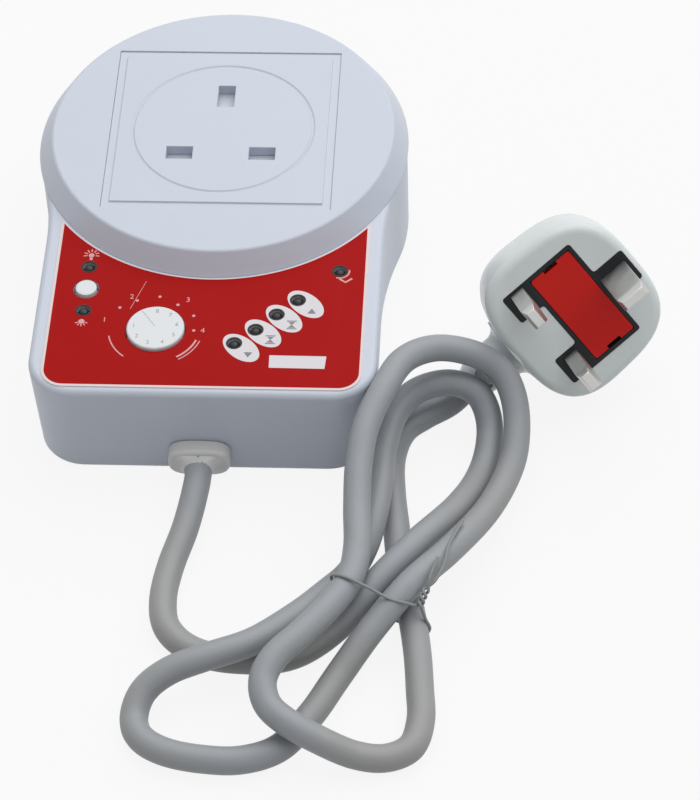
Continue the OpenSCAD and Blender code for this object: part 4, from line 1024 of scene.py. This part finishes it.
def makeCarrier():
    c, top = carrier, insert["rise"]
    w, h, y = c["w"] / 2, c["h"] / 2, insert["y"]
    outline = rounded([(w, y - h), (w, y + h), (-w, y + h), (-w, y - h)], c["cornerR"])
    piece = prism("carrier_plate", outline, top - c["t"], top, "red", plugPlace)
    cuts = [box("notch", s * w, y, top - c["t"] - 1, 2 * c["notchDeep"], c["notchW"], top + 1,
                place=plugPlace) for s in (-1, 1)]
    combine(piece, cuts)
    legs = [box("leg", 0, y + s * c["legY"], top - c["t"] - c["legH"], c["legW"], c["legT"],
                top - c["t"] / 2, "red", plugPlace) for s in (-1, 1)]
    combine(piece, legs, "UNION")
    soften(piece, c["soft"], 3, 40)
    finished(piece, ["fuse_carrier"], "fuse_tray")


def pinRings(w, h, out):
    c = pins["chamfer"]    # the nose's points are shares of it, inward and down
    levels = [(0.0, -pins["root"])] + [(c * i, out - c * down) for i, down in pins["nose"]]
    return [[(x, y, z) for x, y in ((w / 2 - i, h / 2 - i), (i - w / 2, h / 2 - i),
                                    (i - w / 2, i - h / 2), (w / 2 - i, i - h / 2))]
            for i, z in levels]


def makePins():
    half, y, supply = plug["pitch"] / 2, plug["supplyY"], (pins["w"], pins["t"], pins["out"])
    for name, x, y, w, h, out in (
            ("line_pin", half, y, *supply), ("neutral_pin", -half, y, *supply),
            ("earth_pin", 0, plug["earthY"], pins["t"], pins["earthH"], pins["earthOut"])):
        piece = loft(name + "_blade", pinRings(w, h, out), "pin",
                     plugPlace @ Matrix.Translation((x, y, 0)))
        finished(soften(piece, pins["soft"], 3, 25), [name])


def makeRelief():
    r, end, c = relief, relief["length"], relief["collar"]
    place = exitPlace(end)
    thin = r["baseR"] - r["groove"]
    profile = [(r["boreR"], 0.0), (r["tipR"] - r["tipEdge"], 0.0), (r["tipR"], r["tipEdge"]),
               (r["tipR"] + (r["baseR"] - r["tipR"]) / 2, end - 3 * c), (thin, end - 2 * c),
               (r["baseR"], end - 2 * c), (r["baseR"], end - 1.5 * c), (thin, end - 1.5 * c),
               (thin, end - c), (r["baseR"], end - c), (r["baseR"], end)]
    piece = lathe("relief_sleeve", profile, 96, "plug", place)
    cuts = []
    for s in (-1, 1):
        for t in (-1, 1):
            aim = (place @ Matrix.Rotation(math.radians(s * 90 + t * r["holeTurn"]), 4, "Z")
                   @ Matrix.Translation((r["baseR"] - r["holeDeep"], 0, end - r["holeBack"]))
                   @ Matrix.Rotation(math.pi / 2, 4, "Y"))
            cuts.append(lathe("hole", [(r["holeR"], 0), (r["holeR"], 4)], 24, place=aim))
    combine(piece, cuts)
    soften(piece, r["soft"], 2, 40)
    finished(piece, ["strain_relief"])


makePlugBody()
makeInsert()
makeCarrier()
makePins()
makeRelief()
print("plug made")

# Floor and light

# The light's place and size are in metres, the floor's half width is in millimetres
studio = {"world": 0.37, "watts": 23.6, "size": 2.4, "place": (0.35, 0.55, 1.4),
          "floorHalf": 3000, "floorRough": 0.9, "floorLift": 0.885}


def seenRays(tree):    # 1 where the camera sees a thing itself, in a mirror or through glass
    path = tree.nodes.new("ShaderNodeLightPath")
    seen = Signal(tree, path.outputs["Is Camera Ray"])
    for ray in ("Is Glossy Ray", "Is Transmission Ray"):
        seen = seen.maths("MAXIMUM", seen, Signal(tree, path.outputs[ray]))
    return seen


def makeWorld():    # white where it is seen, and dimmer as light
    world = bpy.data.worlds.new("studio")
    bpy.context.scene.world = world
    world.use_nodes = True
    tree = world.node_tree
    sky = tree.nodes["Background"]
    feed(tree, sky.inputs["Color"], palette["light"])
    feed(tree, sky.inputs["Strength"],
         studio["world"] + seenRays(tree) * (1 - studio["world"]))


def makeLight():
    data = bpy.data.lights.new("soft_box", "AREA")
    data.shape, data.size, data.energy = "DISK", studio["size"], studio["watts"]
    light = link("soft_box", data)
    light.location = studio["place"]
    light.rotation_euler = (-light.location).to_track_quat("-Z", "Y").to_euler()


def makeFloor():    # paper that also glows where it is seen, so that it looks nearly white
    half = studio["floorHalf"]
    floor = solid("floor", [(-half, -half, 0), (half, -half, 0), (half, half, 0),
                            (-half, half, 0)], [(0, 1, 2, 3)])
    finish = Finish("floorPaper")
    finish.set("Base Color", palette["floor"])
    finish.set("Roughness", studio["floorRough"])
    paper = Signal(finish.tree, finish.shader.outputs[0])
    glow = finish.add("Emission", None, {"Color": palette["light"], "Strength": 1.0})
    both = finish.add("MixShader", None, {0: seenRays(finish.tree) * studio["floorLift"],
                                          1: paper, 2: glow})
    finish.tree.links.new(both.socket, finish.tree.nodes["Material Output"].inputs["Surface"])
    floor.data.materials.append(finish.material)


makeWorld()
makeLight()
makeFloor()
bpy.context.scene.view_settings.view_transform = "Standard"
print("light and floor made")

([tiePiece, nodes["lead_sheath"], nodes["fuse"]] + [bpy.data.objects[n] for n in (
            "gland_flange", "relief_sleeve", "plug_shell", "insert_block", "carrier_plate",
            "line_pin_blade", "neutral_pin_blade", "earth_pin_blade")])
